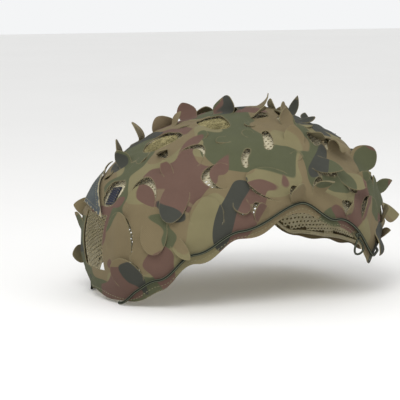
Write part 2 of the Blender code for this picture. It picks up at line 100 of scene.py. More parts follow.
# --------------------------------------------------------------------------
# small shared tools


def linear(code: str) -> tuple[float, float, float, float]:
    """Turns an sRGB hex code to a linear colour.

    Args:
        code: Six hex digits after a hash.

    Returns:
        Linear red, green, blue and an alpha of one.
    """
    parts = [int(code[i : i + 2], 16) / 255.0 for i in (1, 3, 5)]
    red, green, blue = [p / 12.92 if p <= 0.04045 else ((p + 0.055) / 1.055) ** 2.4 for p in parts]
    return red, green, blue, 1.0


def add_node(
    tree: NodeTree, kind: str, inputs: dict | None = None, **settings
) -> bpy.types.Node:
    """Adds a node with its settings and its links.

    Args:
        tree: The tree that it goes in.
        kind: The node's type name.
        inputs: Value or linked socket by input name or number.
        **settings: The node's own properties.

    Returns:
        The new node.
    """
    node = tree.nodes.new(kind)
    for key, value in settings.items():
        setattr(node, key, value)
    for key, value in (inputs or {}).items():
        if isinstance(value, Socket):
            tree.links.new(value, node.inputs[key])
        else:
            node.inputs[key].default_value = value
    return node


def attribute(tree: NodeTree, name: str, output: str = "Fac") -> Socket:
    """Adds a reader of one of the mesh's own attributes."""
    return add_node(tree, "ShaderNodeAttribute", attribute_name=name).outputs[output]


def mixed(tree: NodeTree, share: Socket | float, first: object, second: object) -> Socket:
    """Adds a mix of two colours.

    Args:
        tree: The tree that it goes in.
        share: Share of the second colour.
        first: Colour or socket.
        second: Colour or socket.

    Returns:
        The mixed colour's socket.
    """
    inputs = {"Factor": share, 6: first, 7: second}
    return add_node(tree, "ShaderNodeMix", inputs, data_type="RGBA").outputs[2]


def ranged(tree: NodeTree, value: Socket, span: tuple, to: tuple = (0.0, 1.0)) -> Socket:
    """Adds a move from one range to another, held at its ends.

    Args:
        tree: The tree that it goes in.
        value: The value to move.
        span: The range that it comes in.
        to: The range that it leaves in.

    Returns:
        The moved value's socket.
    """
    inputs = {"Value": value, "From Min": span[0], "From Max": span[1]}
    inputs |= {"To Min": to[0], "To Max": to[1]}
    return add_node(tree, "ShaderNodeMapRange", inputs).outputs[0]


def reckoned(tree: NodeTree, operation: str, first: object, second: object = 0.0) -> Socket:
    """Adds one step of arithmetic."""
    return add_node(tree, "ShaderNodeMath", {0: first, 1: second}, operation=operation).outputs[0]


def noise(tree: NodeTree, place: Socket, scale: float, detail: float, **more) -> Socket:
    """Adds soft noise.

    Args:
        tree: The tree that it goes in.
        place: Where it is looked up.
        scale: Features per metre.
        detail: How many finer layers it has.
        **more: Roughness and distortion, in lower case.

    Returns:
        The noise's socket.
    """
    inputs = {"Vector": place, "Scale": scale, "Detail": detail}
    inputs |= {key.capitalize(): value for key, value in more.items()}
    return add_node(tree, "ShaderNodeTexNoise", inputs).outputs["Fac"]


def bands(
    tree: NodeTree, pitch: float, way: str, distortion: float, detail: float = 2.0
) -> Socket:
    """Adds soft bands on the cloth's own UV map.

    Args:
        tree: The tree that they go in.
        pitch: Metres from band to band.
        way: The axis that they repeat along.
        distortion: How much they stray.
        detail: How many finer layers the straying has.

    Returns:
        The bands' socket.
    """
    place = add_node(tree, "ShaderNodeUVMap", uv_map=UV_NAME).outputs["UV"]
    inputs = {"Vector": place, "Scale": math.tau / pitch / WAVE_TURNS}
    inputs |= {"Distortion": distortion, "Detail": detail}
    return add_node(tree, "ShaderNodeTexWave", inputs, bands_direction=way).outputs["Fac"]


def unit(vectors: np.ndarray) -> np.ndarray:
    """Vectors scaled to length one."""
    return vectors / np.linalg.norm(vectors, axis=-1, keepdims=True)


def smooth(share: np.ndarray) -> np.ndarray:
    """An S-curve from 0 to 1."""
    share = np.clip(share, 0.0, 1.0)
    return share * share * (3.0 - 2.0 * share)


def inside(points: np.ndarray, outline: np.ndarray) -> np.ndarray:
    """Tells which plane points lie inside a closed outline.

    Args:
        points: Points on the plane.
        outline: The outline's corners in order.

    Returns:
        True for each point inside.
    """
    result = np.zeros(len(points), bool)
    near = np.flatnonzero(((points >= outline.min(0)) & (points <= outline.max(0))).all(axis=1))
    x, y = points[near, 0], points[near, 1]
    held = np.zeros(len(near), bool)
    for (x0, y0), (x1, y1) in zip(outline, np.roll(outline, -1, axis=0)):
        crosses = (y0 > y) != (y1 > y)
        held ^= crosses & (x < x0 + (y - y0) * (x1 - x0) / ((y1 - y0) or 1e-12))
    result[near] = held
    return result


def on_plane(azimuth: np.ndarray, polar: np.ndarray) -> np.ndarray:
    """Plane points from azimuth and polar angles in degrees."""
    turn = np.radians(azimuth)
    return np.stack([polar * np.sin(turn), -polar * np.cos(turn)], axis=-1)


def outline_of(corners: tuple, parts: int = 1) -> np.ndarray:
    """Plane outline from corner angles.

    Args:
        corners: Pairs of azimuth and polar angle.
        parts: How many parts each side is split in.

    Returns:
        The outline's points in order.
    """
    table = np.array(corners, float)
    outline = on_plane(table[:, 0], table[:, 1])
    share = np.arange(parts)[:, None] / parts
    sides = zip(outline, np.roll(outline, -1, axis=0))
    return np.concatenate([a + (b - a) * share for a, b in sides])


def rounded(outline: np.ndarray, rounds: int = 3) -> np.ndarray:
    """A closed outline with its corners cut round, again and again."""
    for _ in range(rounds):
        after = np.roll(outline, -1, axis=0)
        pair = (outline * 0.75 + after * 0.25, outline * 0.25 + after * 0.75)
        outline = np.stack(pair, 1).reshape(-1, 2)
    return outline


def polar_of(plane: np.ndarray) -> np.ndarray:
    """Degrees down from the crown."""
    return np.hypot(plane[..., 0], plane[..., 1])


def azimuth_of(plane: np.ndarray) -> np.ndarray:
    """Degrees round from the front."""
    return np.degrees(np.arctan2(plane[..., 0], -plane[..., 1]))


def nearest(known: np.ndarray, places: np.ndarray) -> tuple[np.ndarray, np.ndarray]:
    """Finds the nearest known point to each place.

    Args:
        known: Points to look among.
        places: Points to look from.

    Returns:
        The known points' numbers, and how far away they are.
    """
    tree = KDTree(len(known))
    for i, point in enumerate(known):
        tree.insert(point, i)
    tree.balance()
    found = [tree.find(p) for p in places]
    return np.array([f[1] for f in found]), np.array([f[2] for f in found])


# --------------------------------------------------------------------------
# the form that the cloths follow


@dataclass(frozen=True)
class HemRow:
    """How far down the lower edge lies at an azimuth."""

    azimuth: float
    polar: float


@dataclass(frozen=True)
class Wave:
    """One sine of the cloth's soft puffs."""

    across: float
    along: float
    phase: float
    height: float


@dataclass(frozen=True)
class Puff:
    """One large soft swelling of the cloth."""

    azimuth: float
    polar: float
    spread: float
    height: float


@dataclass(frozen=True)
class Crease:
    """A trough (negative height) or a ridge that runs across the cloth."""

    azimuth: float
    polar: float
    heading: float
    length: float
    width: float
    height: float


@dataclass(frozen=True)
class Leaf:
    """A leaf cut: root, heading, cut length and width, rise, bend, point and reach."""

    azimuth: float
    polar: float
    heading: float
    length: float
    width: float
    lift: float
    curl: float
    point: float
    reach: float


@dataclass(frozen=True)
class Kind:
    """A kind of leaf that the rule repeats."""

    length: float
    width: float
    lift: float
    curl: float
    point: float
    reach: float


HEM = (
    HemRow(0, 100.0),
    HemRow(18, 102.5),
    HemRow(30, 98.5),
    HemRow(43, 91.0),
    HemRow(60, 84.5),
    HemRow(88, 77.0),
    HemRow(104, 88.0),
    HemRow(134, 112.0),
    HemRow(156, 114.0),
    HemRow(180, 115.0),
)
HEM_RIPPLE = 0.7
HEM_RIPPLES = 17
WINDOW_HALF = 9.0
WINDOW_TOP = 74.5
WINDOW_FOOT = 92.0
SIDE_OPENING = ((3.5, 64.5), (9, 62.5), (14, 63), (14.5, 67), (10.5, 71.5), (4.5, 72))
FRONT_PILE_OPENING = (
    *((1, 48.5), (-5, 43), (-1, 37.5), (12, 36)),
    *((23, 37.5), (20, 43), (14, 48), (7, 50)),
)
CROWN_PILE_OPENING = ((4, 24), (4, 18.5), (28, 16), (48, 21), (56, 28.5), (44, 31.5), (22, 29))
CREST_OPENING = ((81, 33), (88, 33), (88, 39), (84, 45.5), (78, 46), (80, 40))
SIDE_SLIT = ((67, 43.5), (64, 47), (63, 51), (64.5, 54), (67, 53.5), (66.5, 49.5), (70, 45))
OPENINGS = (SIDE_OPENING, FRONT_PILE_OPENING, CROWN_PILE_OPENING, CREST_OPENING, SIDE_SLIT)
OPENING_PARTS = 2
TAB_CORNERS = ((-10, 61), (8, 75.5), (-16, 74))
STRAP_CORNERS = ((4.4, 65.2), (9.8, 64.2), (10.3, 70.6), (5.6, 71))

PUFF_MEAN = 3.7
SEAM_WIDTH = 11.0
PUFF_WAVES = (
    Wave(0.21, 0.06, 0.4, 0.7),
    Wave(-0.09, 0.19, 1.9, 0.6),
    Wave(0.13, 0.27, 4.1, 0.4),
)
BIG_PUFFS = (
    Puff(146, 66, 17, 3.6),
    Puff(150, 95, 16, 3.0),
    Puff(96, 66, 14, 2.0),
    Puff(-146, 66, 17, 3.0),
)
WRINKLES = (
    Wave(0.62, 0.33, 0.9, 0.28),
    Wave(-0.41, 0.71, 2.2, 0.24),
    Wave(1.05, -0.52, 4.6, 0.14),
)
CREASES = (
    Crease(30, 88, 80, 34, 5, -1.3),
    Crease(26, 66, 100, 30, 5, -1.2),
    Crease(44, 70, 20, 28, 4, -1.1),
    Crease(52, 66, -30, 36, 5, 1.1),
    Crease(66, 62, 15, 34, 4, -1.4),
    Crease(74, 50, 70, 40, 6, -1.2),
    Crease(58, 48, 40, 34, 5, 1.0),
    Crease(90, 60, 10, 30, 5, -1.3),
    Crease(100, 78, 70, 26, 4, -1.0),
    Crease(108, 68, 30, 34, 5, -1.4),
    Crease(118, 76, 110, 30, 5, -1.2),
    Crease(128, 84, 60, 30, 5, 1.0),
    Crease(138, 84, 150, 34, 6, -1.4),
    Crease(146, 100, 80, 34, 5, -1.2),
    Crease(160, 78, 20, 36, 6, -1.3),
    Crease(174, 60, 100, 36, 6, -1.2),
    Crease(-170, 88, 30, 36, 6, -1.3),
    Crease(-150, 74, 120, 36, 6, -1.4),
    Crease(-130, 62, 40, 34, 5, -1.2),
    Crease(-112, 74, 100, 30, 5, -1.2),
    Crease(-96, 58, 20, 34, 5, -1.3),
    Crease(-74, 66, 80, 32, 5, -1.2),
    Crease(-56, 56, 140, 34, 5, -1.2),
    Crease(-38, 72, 30, 32, 5, -1.1),
    Crease(-30, 88, 100, 30, 5, -1.2),
    Crease(40, 30, 60, 34, 6, -1.2),
    Crease(-60, 30, 120, 34, 6, -1.2),
    Crease(150, 34, 80, 34, 6, -1.2),
    Crease(-150, 30, 20, 34, 6, -1.2),
    Crease(90, 20, 0, 30, 6, -1.1),
)

LEAVES = (
    # brow and temple, wearer's left
    Leaf(20, 95, -172, 22, 36, 10, -12, 0.1, 1.2),
    Leaf(17, 85.5, 172, 33, 38, 10, -16, 0.1, 1.15),
    Leaf(24, 71, -175, 29, 31, 10, -16, 0.1, 0.76),
    Leaf(30, 77, 2, 21, 28, 10, -12, 0.0, 1.25),
    Leaf(36, 64.5, -1, 26, 30, 10, -14, 0.0, 1.25),
    Leaf(48, 76.5, 178, 22, 34, 8, -14, 0.0, 1.1),
    Leaf(37, 82.5, 40, 10, 14, 46, -40, 0.2, 2.2),
    # side, from the front opening to the rear petals
    Leaf(56, 58, -88, 22, 30, 12, -10, 0.1, 0.76),
    Leaf(36, 51.5, 170, 24, 27, 10, -14, 0.1, 0.74),
    Leaf(61, 69, 12, 12, 16, 12, 14, 0.2, 1.2),
    Leaf(82, 65, -118, 32, 34, 12, -14, 0.2, 1.15),
    Leaf(70, 77, -160, 16, 16, 18, 10, 0.5, 1.2),
    Leaf(88, 73, -165, 16, 15, 30, 22, 0.2, 1.7),
    Leaf(97, 72, 150, 18, 14, 36, 46, 0.3, 1.6),
    Leaf(105, 57, 36, 22, 22, 14, 10, 0.8, 1.25),
    Leaf(101, 45, 160, 18, 20, 18, 14, 0.4, 1.1),
    Leaf(124, 43, -60, 18, 18, 22, 18, 0.3, 1.1),
    # rear shoulder and nape
    Leaf(118, 66, 20, 22, 24, 12, 14, 0.3, 1.2),
    Leaf(126, 57, 150, 22, 24, 24, 190, 0.1, 1.3),
    Leaf(137, 66, 95, 21, 24, 16, 70, 0.1, 1.2),
    Leaf(114, 84, -150, 16, 16, 20, 16, 0.5, 1.1),
    Leaf(125, 92.5, 164, 27, 34, 10, -16, 0.0, 1.05),
    Leaf(149, 82, 100, 14, 13, 48, 20, 0.7, 1.5),
    Leaf(134, 97.5, -28, 11, 22, 42, -26, 0.2, 2.3),
    Leaf(152, 91, 40, 20, 22, 22, 12, 0.6, 1.25),
    # front slope, seen against the sky
    Leaf(-22, 66, -165, 20, 22, 34, -4, 0.6, 1.1),
    Leaf(-19, 56, 160, 18, 18, 46, 20, 0.1, 1.1),
    Leaf(4, 57, -120, 16, 14, 34, 30, 0.3, 1.2),
    Leaf(-21, 46.5, 168, 20, 21, 54, 62, 0.1, 1.1),
    Leaf(-10, 33, -170, 14, 10, 62, -6, 0.9, 1.3),
    # crown
    Leaf(22, 12.5, -172, 18, 26, 76, -8, 0.1, 1.05),
    Leaf(-30, 25, -80, 18, 18, 38, 40, 0.3, 1.2),
    Leaf(88, 15, 40, 16, 16, 24, 36, 0.4, 1.1),
    Leaf(150, 8, 20, 18, 18, 22, 44, 0.2, 1.1),
    Leaf(133, 27, 170, 18, 20, 28, 40, 0.2, 1.1),
    Leaf(168, 26, 60, 18, 9, 50, 60, 0.9, 1.3),
    Leaf(112, 33, 170, 18, 18, 26, 26, 0.3, 1.1),
)
FILL_TURN = 137.508
FILL_KINDS = (
    Kind(28, 32, 10, -16, 0.0, 1.05),
    Kind(24, 26, 14, -4, 0.3, 1.05),
    Kind(26, 34, 10, -15, 0.0, 1.0),
    Kind(20, 24, 24, 36, 0.2, 1.1),
    Kind(30, 28, 10, -16, 0.1, 1.0),
    Kind(22, 20, 20, 18, 0.5, 1.15),
)
SMALL_KIND = Kind(16, 18, 16, 16, 0.2, 1.1)
TINY_KINDS = (
    Kind(11, 12, 16, -8, 0.1, 1.1),
    Kind(13, 11, 24, 20, 0.5, 1.2),
    Kind(9, 12, 14, -4, 0.0, 1.0),
)
FILL_HEADINGS = (10, 165, -60, 95, 30, -140, 60)


@dataclass(frozen=True)
class Dome:
    """The helmet's form: half superellipsoids that meet over the ears."""

    half_width: float = 122.0
    front_reach: float = 177.0
    rear_reach: float = 117.0
    crown_height: float = 113.5
    skirt_depth: float = 160.0
    plan_power: float = 2.15
    front_power: float = 2.2
    rear_power: float = 1.7
    nose_down: float = 9.0
    crown_inset: float = 6.5

    def surface(self, plane: np.ndarray) -> np.ndarray:
        """Points of the dome at plane points."""
        polar = np.radians(polar_of(plane))
        azimuth = np.radians(azimuth_of(plane))
        x = np.sin(polar) * np.sin(azimuth)
        y = -np.sin(polar) * np.cos(azimuth)
        z = np.cos(polar)
        length = np.where(y < 0, self.front_reach, self.rear_reach)
        height = np.where(z > 0, self.crown_height, self.skirt_depth)
        ahead = (1.0 + np.cos(azimuth)) / 2.0
        power = self.front_power * ahead + self.rear_power * (1.0 - ahead)
        across, along = np.abs(x / self.half_width), np.abs(y / length)
        plan = across**self.plan_power + along**self.plan_power
        size = (plan ** (power / self.plan_power) + np.abs(z / height) ** power) ** (-1.0 / power)
        return np.stack([x, y, z], axis=-1) * size[..., None]

    def tangents(
        self, plane: np.ndarray, surface: Callable | None = None, step: float = 0.05
    ) -> tuple[np.ndarray, np.ndarray]:
        """Millimetres moved on a surface per degree moved on the plane.

        Args:
            plane: Plane points.
            surface: Function of plane points, the dome itself by default.
            step: Degrees to either side.

        Returns:
            The moves across and along the plane.
        """
        surface = surface or self.surface
        across = np.array([step, 0.0])
        along = np.array([0.0, step])
        by_across = (surface(plane + across) - surface(plane - across)) / (2.0 * step)
        by_along = (surface(plane + along) - surface(plane - along)) / (2.0 * step)
        return by_across, by_along

    def raised(self, plane: np.ndarray, offset: np.ndarray) -> np.ndarray:
        """Points that stand off the dome by an offset."""
        normals = unit(np.cross(*self.tangents(plane)))
        return self.surface(plane) + normals * np.asarray(offset)[..., None]

    def along_hem(self, azimuth: np.ndarray) -> np.ndarray:
        """Polar angle of the lower edge at each azimuth."""
        around = np.abs((np.asarray(azimuth, float) + 180.0) % 360.0 - 180.0)
        polar = np.zeros_like(around)
        for low, high in zip(HEM, HEM[1:]):
            held = (around >= low.azimuth) & (around <= high.azimuth)
            share = (around - low.azimuth) / (high.azimuth - low.azimuth)
            blend = (1.0 - np.cos(np.pi * share)) / 2.0
            polar = np.where(held, low.polar + (high.polar - low.polar) * blend, polar)
        return polar

    def hem_outline(
        self, shorter: float = 0.0, ripple: float = HEM_RIPPLE, step: float = 1.0
    ) -> np.ndarray:
        """The lower edge as a plane outline.

        Args:
            shorter: Degrees that it is drawn up by.
            ripple: Height of its waves in degrees.
            step: Degrees from point to point.

        Returns:
            The outline's points in order.
        """
        azimuth = np.arange(-180.0, 180.0, step)
        wave = ripple * np.sin(np.radians(azimuth) * HEM_RIPPLES)
        return on_plane(azimuth, self.along_hem(azimuth) - shorter + wave)

    def window_outline(self, inset: float = 0.0, rows: int = 12) -> np.ndarray:
        """The front window's outline, its sides straight down the dome."""
        side = WINDOW_HALF - inset
        top, foot = WINDOW_TOP + inset, WINDOW_FOOT - inset
        spread = np.linspace(-side, side, rows)
        drop = np.linspace(top, foot, rows + 1)[1:-1]
        level = np.full(len(drop), side)
        azimuth = np.concatenate([spread, level, spread[::-1], -level])
        polar = np.concatenate([np.full(rows, top), drop, np.full(rows, foot), drop[::-1]])
        return on_plane(azimuth / np.sin(np.radians(polar)), polar)

    def window_distance(self, plane: np.ndarray) -> np.ndarray:
        """Degrees from the front window, 0 inside it."""
        polar = polar_of(plane)
        aside = np.abs(azimuth_of(plane)) * np.sin(np.radians(polar)) - WINDOW_HALF
        below = np.maximum(WINDOW_TOP - polar, polar - WINDOW_FOOT)
        return np.hypot(np.maximum(aside, 0.0), np.maximum(below, 0.0))

    def into_frame(self, points: np.ndarray) -> np.ndarray:
        """Points in metres in the row frame, nose down as the cover sits."""
        angle = math.radians(self.nose_down)
        cos, sin = math.cos(angle), math.sin(angle)
        turn = np.array([[1.0, 0.0, 0.0], [0.0, cos, -sin], [0.0, sin, cos]])
        crown = np.array([0.0, 0.0, self.crown_height - self.crown_inset])
        return ((points - crown) @ turn.T) * MM

    def ring_points(self, spacing: float, jitter: float = 0.0, seed: int = 3) -> np.ndarray:
        """Plane points in rings about the crown.

        Args:
            spacing: Millimetres from point to point.
            jitter: Share of the spacing that points stray by.
            seed: Fixes the straying.

        Returns:
            Plane points.
        """
        chance = np.random.default_rng(seed)
        rings = [np.zeros((1, 2))]
        polar = 0.0
        while polar < LOWEST_POLAR:
            polar += spacing / MM_PER_DEGREE
            around = 2.0 * math.pi * MEAN_RADIUS * math.sin(math.radians(min(polar, 90.0)))
            count = max(6, round(around / spacing))
            azimuth = (np.arange(count) + chance.random()) * 360.0 / count
            rings.append(on_plane(azimuth, np.full(count, polar)))
        points = np.concatenate(rings)
        stray = (chance.random(points.shape) - 0.5) * jitter * spacing / MM_PER_DEGREE
        return points + stray


DOME = Dome()


@dataclass
class ClothLie:
    """How the leaf cloth lies over the net: sewn edges, puffs, folds, raised cut rims."""

    dome: Dome = DOME
    seat: float = -3.9
    rims: np.ndarray = field(default_factory=lambda: np.zeros((0, 3)))
    rim_rise: np.ndarray = field(default_factory=lambda: np.zeros(0))
    rim_reach: float = 3.8
    crease_bow: float = 0.012
    crease_taper: float = 0.45
    sewn_folds: float = 0.25

    def plain(self, plane: np.ndarray) -> np.ndarray:
        """Height over the dome without the small folds."""
        u, v = plane[..., 0], plane[..., 1]
        height = np.full(u.shape, PUFF_MEAN)
        for wave in PUFF_WAVES:
            height += wave.height * np.sin(wave.across * u + wave.along * v + wave.phase)
        for puff in BIG_PUFFS:
            away = plane - on_plane(puff.azimuth, puff.polar)
            height += puff.height * np.exp(-(away**2).sum(-1) / (2.0 * puff.spread**2))
        return self.seat + height * self.free(plane)

    def free(self, plane: np.ndarray) -> np.ndarray:
        """How free the cloth is: 0 where it is sewn down, 1 away from there."""
        to_hem = self.dome.along_hem(azimuth_of(plane)) - polar_of(plane)
        to_edge = np.minimum(to_hem, self.dome.window_distance(plane) + 2.0)
        return smooth(to_edge / SEAM_WIDTH)

    def plain_surface(self, plane: np.ndarray) -> np.ndarray:
        """The cloth's middle surface without the small folds."""
        return self.dome.raised(plane, self.plain(plane))

    def folded(self, plane: np.ndarray) -> np.ndarray:
        """Height over the dome with wrinkles, creases and raised rims."""
        u, v = plane[:, 0], plane[:, 1]
        fold = np.zeros(len(plane))
        for wave in WRINKLES:
            fold += wave.height * np.sin(wave.across * u + wave.along * v + wave.phase)
        places = self.dome.surface(plane)
        for crease in CREASES:
            root = on_plane(crease.azimuth, crease.polar)
            by_across, by_along = self.dome.tangents(root)
            normal = unit(np.cross(by_across, by_along))
            down = unit(np.stack([by_across, by_along], -1) @ root)
            side = unit(np.cross(normal, down))
            turn = math.radians(crease.heading)
            along = down * math.cos(turn) + side * math.sin(turn)
            across = np.cross(along, normal)
            away = places - self.dome.surface(root)
            far, wide = away @ along, away @ across
            bow = self.crease_bow * far**2
            lean = (wide + bow) / crease.width
            taper = far / (crease.length * self.crease_taper)
            fold += crease.height * np.exp(-(lean**2) - taper**2)
        if len(self.rims):
            number, distance = nearest(self.rims, places)
            fold += self.rim_rise[number] * np.exp(-((distance / self.rim_reach) ** 2))
        free = self.sewn_folds + (1.0 - self.sewn_folds) * self.free(plane)
        return self.plain(plane) + fold * free

    def surface(self, plane: np.ndarray) -> np.ndarray:
        """The cloth's middle surface with all its folds."""
        return self.dome.raised(plane, self.folded(plane))


class LeafCut:
    """One cut leaf: its outlines on the plane and its shape once lifted."""

    neck = 0.82
    gap = 0.055
    root_bend = 0.25
    twist = 22.0
    sweep = 0.16
    spread = 0.06
    roll = 62.0
    flare = 0.34
    shut = 0.35
    sharpness = 0.9
    steps = 14
    cup_mean = 0.04
    cup_stray = 0.035
    flutter = 0.5
    footprint_length = 0.62
    footprint_width = 0.56

    def __init__(self, leaf: Leaf, lie: ClothLie) -> None:
        """Finds the leaf's own axes on the cloth."""
        self.leaf = leaf
        self.lie = lie
        self.phase = leaf.azimuth * 1.7 + leaf.polar
        self.loose = min(1.0, max(leaf.lift + leaf.curl, 0.0) / 50.0)
        self.root = on_plane(leaf.azimuth, leaf.polar)
        by_across, by_along = lie.dome.tangents(self.root, lie.plain_surface)
        self.normal = unit(np.cross(by_across, by_along))
        down = unit(np.stack([by_across, by_along], -1) @ self.root)
        side = unit(np.cross(self.normal, down))
        turn = math.radians(leaf.heading)
        self.forward = down * math.cos(turn) + side * math.sin(turn)
        self.aside = np.cross(self.forward, self.normal)
        self.to_plane = np.linalg.pinv(np.stack([by_across, by_along], -1))

    def outline(self, sides: int, growth: float = 0.0) -> np.ndarray:
        """Local points round the leaf from one root end to the other."""
        turn = np.linspace(0.0, np.pi, sides + 1)[1:-1]
        out, up = np.cos(turn), np.sin(turn)
        width = np.sign(out) * np.abs(out) ** (1.0 + self.sharpness * self.leaf.point)
        width *= self.neck + (1.0 - self.neck) * np.sqrt(up)
        x = width * (1.0 + growth * up) * self.leaf.width / 2.0
        y = up * (1.0 + growth) * self.leaf.length
        return np.stack([x, y], -1)

    def root_line(self, parts: int) -> np.ndarray:
        """Local points along the uncut root."""
        half = self.neck * self.leaf.width / 2.0
        x = np.linspace(-half, half, parts + 1)
        return np.stack([x, np.zeros_like(x)], -1)

    def inner(self, spacing: float) -> np.ndarray:
        """Local points that fill the leaf.

        Args:
            spacing: Millimetres from point to point.

        Returns:
            Points clear of the leaf's own outline.
        """
        half, length = self.leaf.width / 2.0, self.leaf.length
        rows = []
        count = max(2, int(length / (0.87 * spacing)))
        for i in range(1, count + 1):
            y = i * length / (count + 1)
            x = np.arange(-half, half + spacing, spacing) + (i % 2) * spacing / 2.0
            rows.append(np.stack([x, np.full_like(x, y)], -1))
        points = np.concatenate(rows)
        rim = np.concatenate([self.root_line(8), self.outline(40)])
        points = points[inside(points, rim)]
        if not len(points):
            return points
        away = np.linalg.norm(points[:, None] - rim[None], axis=-1).min(axis=1)
        return points[away > 0.55 * spacing]

    def plane_points(self, local: np.ndarray) -> np.ndarray:
        """Plane points of local points while the cloth is uncut."""
        flat = local[:, :1] * self.aside + local[:, 1:] * self.forward
        return self.root + flat @ self.to_plane.T

    def lifted(self, local: np.ndarray) -> np.ndarray:
        """Where local points stand once the leaf has lifted, curled and cupped.

        Args:
            local: Points in the leaf's own millimetres.

        Returns:
            Points on the dome's axes.
        """
        leaf = self.leaf
        share = (np.arange(self.steps) + 0.5) / self.steps
        start = self.lie.surface(self.plane_points(local * np.array([1.0, 0.0])))
        part = share[None, :] * local[:, 1:] / leaf.length
        angle = np.radians(leaf.lift * smooth(part / self.root_bend) + self.bend(part))
        run = local[:, 1:] * leaf.reach / self.steps
        ahead = (np.cos(angle) * run).sum(axis=1)
        rise = (np.sin(angle) * run).sum(axis=1)
        up = local[:, 1] / leaf.length
        wide = 2.0 * local[:, 0] / leaf.width
        cup = (self.cup_mean + self.cup_stray * math.sin(self.phase)) * leaf.width * wide**2
        flutter = self.flutter * np.sin(3.1 * wide + self.phase) * smooth(up * 1.3)
        twist = self.twist * math.sin(2.3 * self.phase) * self.loose
        turn = np.radians(twist) * smooth(up)
        tip = np.radians(leaf.lift + self.bend(up))
        face = np.cos(tip)[:, None] * self.normal - np.sin(tip)[:, None] * self.forward
        sway = self.sweep * math.sin(3.7 * self.phase) * self.loose * leaf.length * up**2
        flare = (self.spread + self.flare * self.loose) * smooth(1.6 * up)
        aside = local[:, 0] * (np.cos(turn) - 1.0 + flare) + sway
        out = cup * smooth(up * 1.6) + flutter + local[:, 0] * np.sin(turn)
        points = start + ahead[:, None] * self.forward + rise[:, None] * self.normal
        return points + out[:, None] * face + aside[:, None] * self.aside

    def bend(self, share: np.ndarray) -> np.ndarray:
        """Degrees curled at a share of the leaf's length; some tips roll on further."""
        leaf = self.leaf
        roll = self.roll if leaf.curl > 0.0 else -self.roll
        rolled = max(0.0, math.sin(2.9 * self.phase)) * min(1.0, abs(leaf.lift) / 30.0)
        return (leaf.curl + roll * rolled * share) * share

    def opening_share(self) -> float:
        """How much longer the opening is than the leaf; a leaf that lies flat nearly shuts it."""
        flat = self.leaf.curl < 0.0 and self.leaf.lift < 20.0
        return self.gap * (self.shut if flat else 1.0)

    def footprint(self) -> tuple[np.ndarray, float]:
        """The cut's centre on the dome and its radius."""
        middle = np.array([[0.0, self.leaf.length / 2.0]])
        centre = self.lie.dome.surface(self.plane_points(middle))[0]
        long, wide = self.leaf.length, self.leaf.width
        return centre, max(self.footprint_length * long, self.footprint_width * wide)


@dataclass
class LeafRule:
    """Leaves by rule on a spiral over the dome, wherever there is room."""

    lie: ClothLie
    count: int
    spread: float
    clearance: float
    kinds: tuple[Kind, ...]
    small: Kind | None = None
    above_hem: float = 0.0

    def leaves(self, taken: tuple[Leaf, ...], keep_out: np.ndarray) -> tuple[Leaf, ...]:
        """Finds the leaves.

        Args:
            taken: Leaves that are there already.
            keep_out: Plane points that leaves stay clear of.

        Returns:
            The new leaves.
        """
        dome = self.lie.dome
        found: list[Leaf] = []
        circles = [LeafCut(leaf, self.lie).footprint() for leaf in taken]
        openings = [outline_of(corners, OPENING_PARTS) for corners in (*OPENINGS, TAB_CORNERS)]
        edges = dome.surface(keep_out)
        for i in range(self.count):
            polar = self.spread * math.sqrt((i + 0.5) / self.count)
            azimuth = (i * FILL_TURN + 180.0) % 360.0 - 180.0
            place = on_plane(azimuth, polar)
            if any(inside(place[None], outline)[0] for outline in openings):
                continue
            if dome.window_distance(place) == 0.0:
                continue
            if polar > dome.along_hem(azimuth) - self.above_hem:
                continue
            kind = self.kinds[len(found) % len(self.kinds)]
            if self.small and 2 * i >= self.count:
                kind = self.small
            heading = FILL_HEADINGS[len(found) % len(FILL_HEADINGS)]
            size = (kind.length, kind.width, kind.lift, kind.curl, kind.point, kind.reach)
            leaf = Leaf(azimuth, polar, heading, *size)
            centre, radius = LeafCut(leaf, self.lie).footprint()
            room = min(np.linalg.norm(centre - c) - r - radius for c, r in circles)
            edge = np.linalg.norm(edges - centre, axis=1).min() - radius
            if room < self.clearance or edge < 2.0 * self.clearance:
                continue
            circles.append((centre, radius))
            found.append(leaf)
        return tuple(found)


def cord_plane(azimuth: np.ndarray) -> np.ndarray:
    """The draw cord's line: from the brow's edge up to a steady distance above the hem."""
    from_front = np.abs((azimuth + 180.0) % 360.0 - 180.0)
    climb = smooth((from_front - DrawCord.start) / DrawCord.climb)
    return on_plane(azimuth, DOME.along_hem(azimuth) - DrawCord.above_hem * climb)


# --------------------------------------------------------------------------
# meshes and pieces


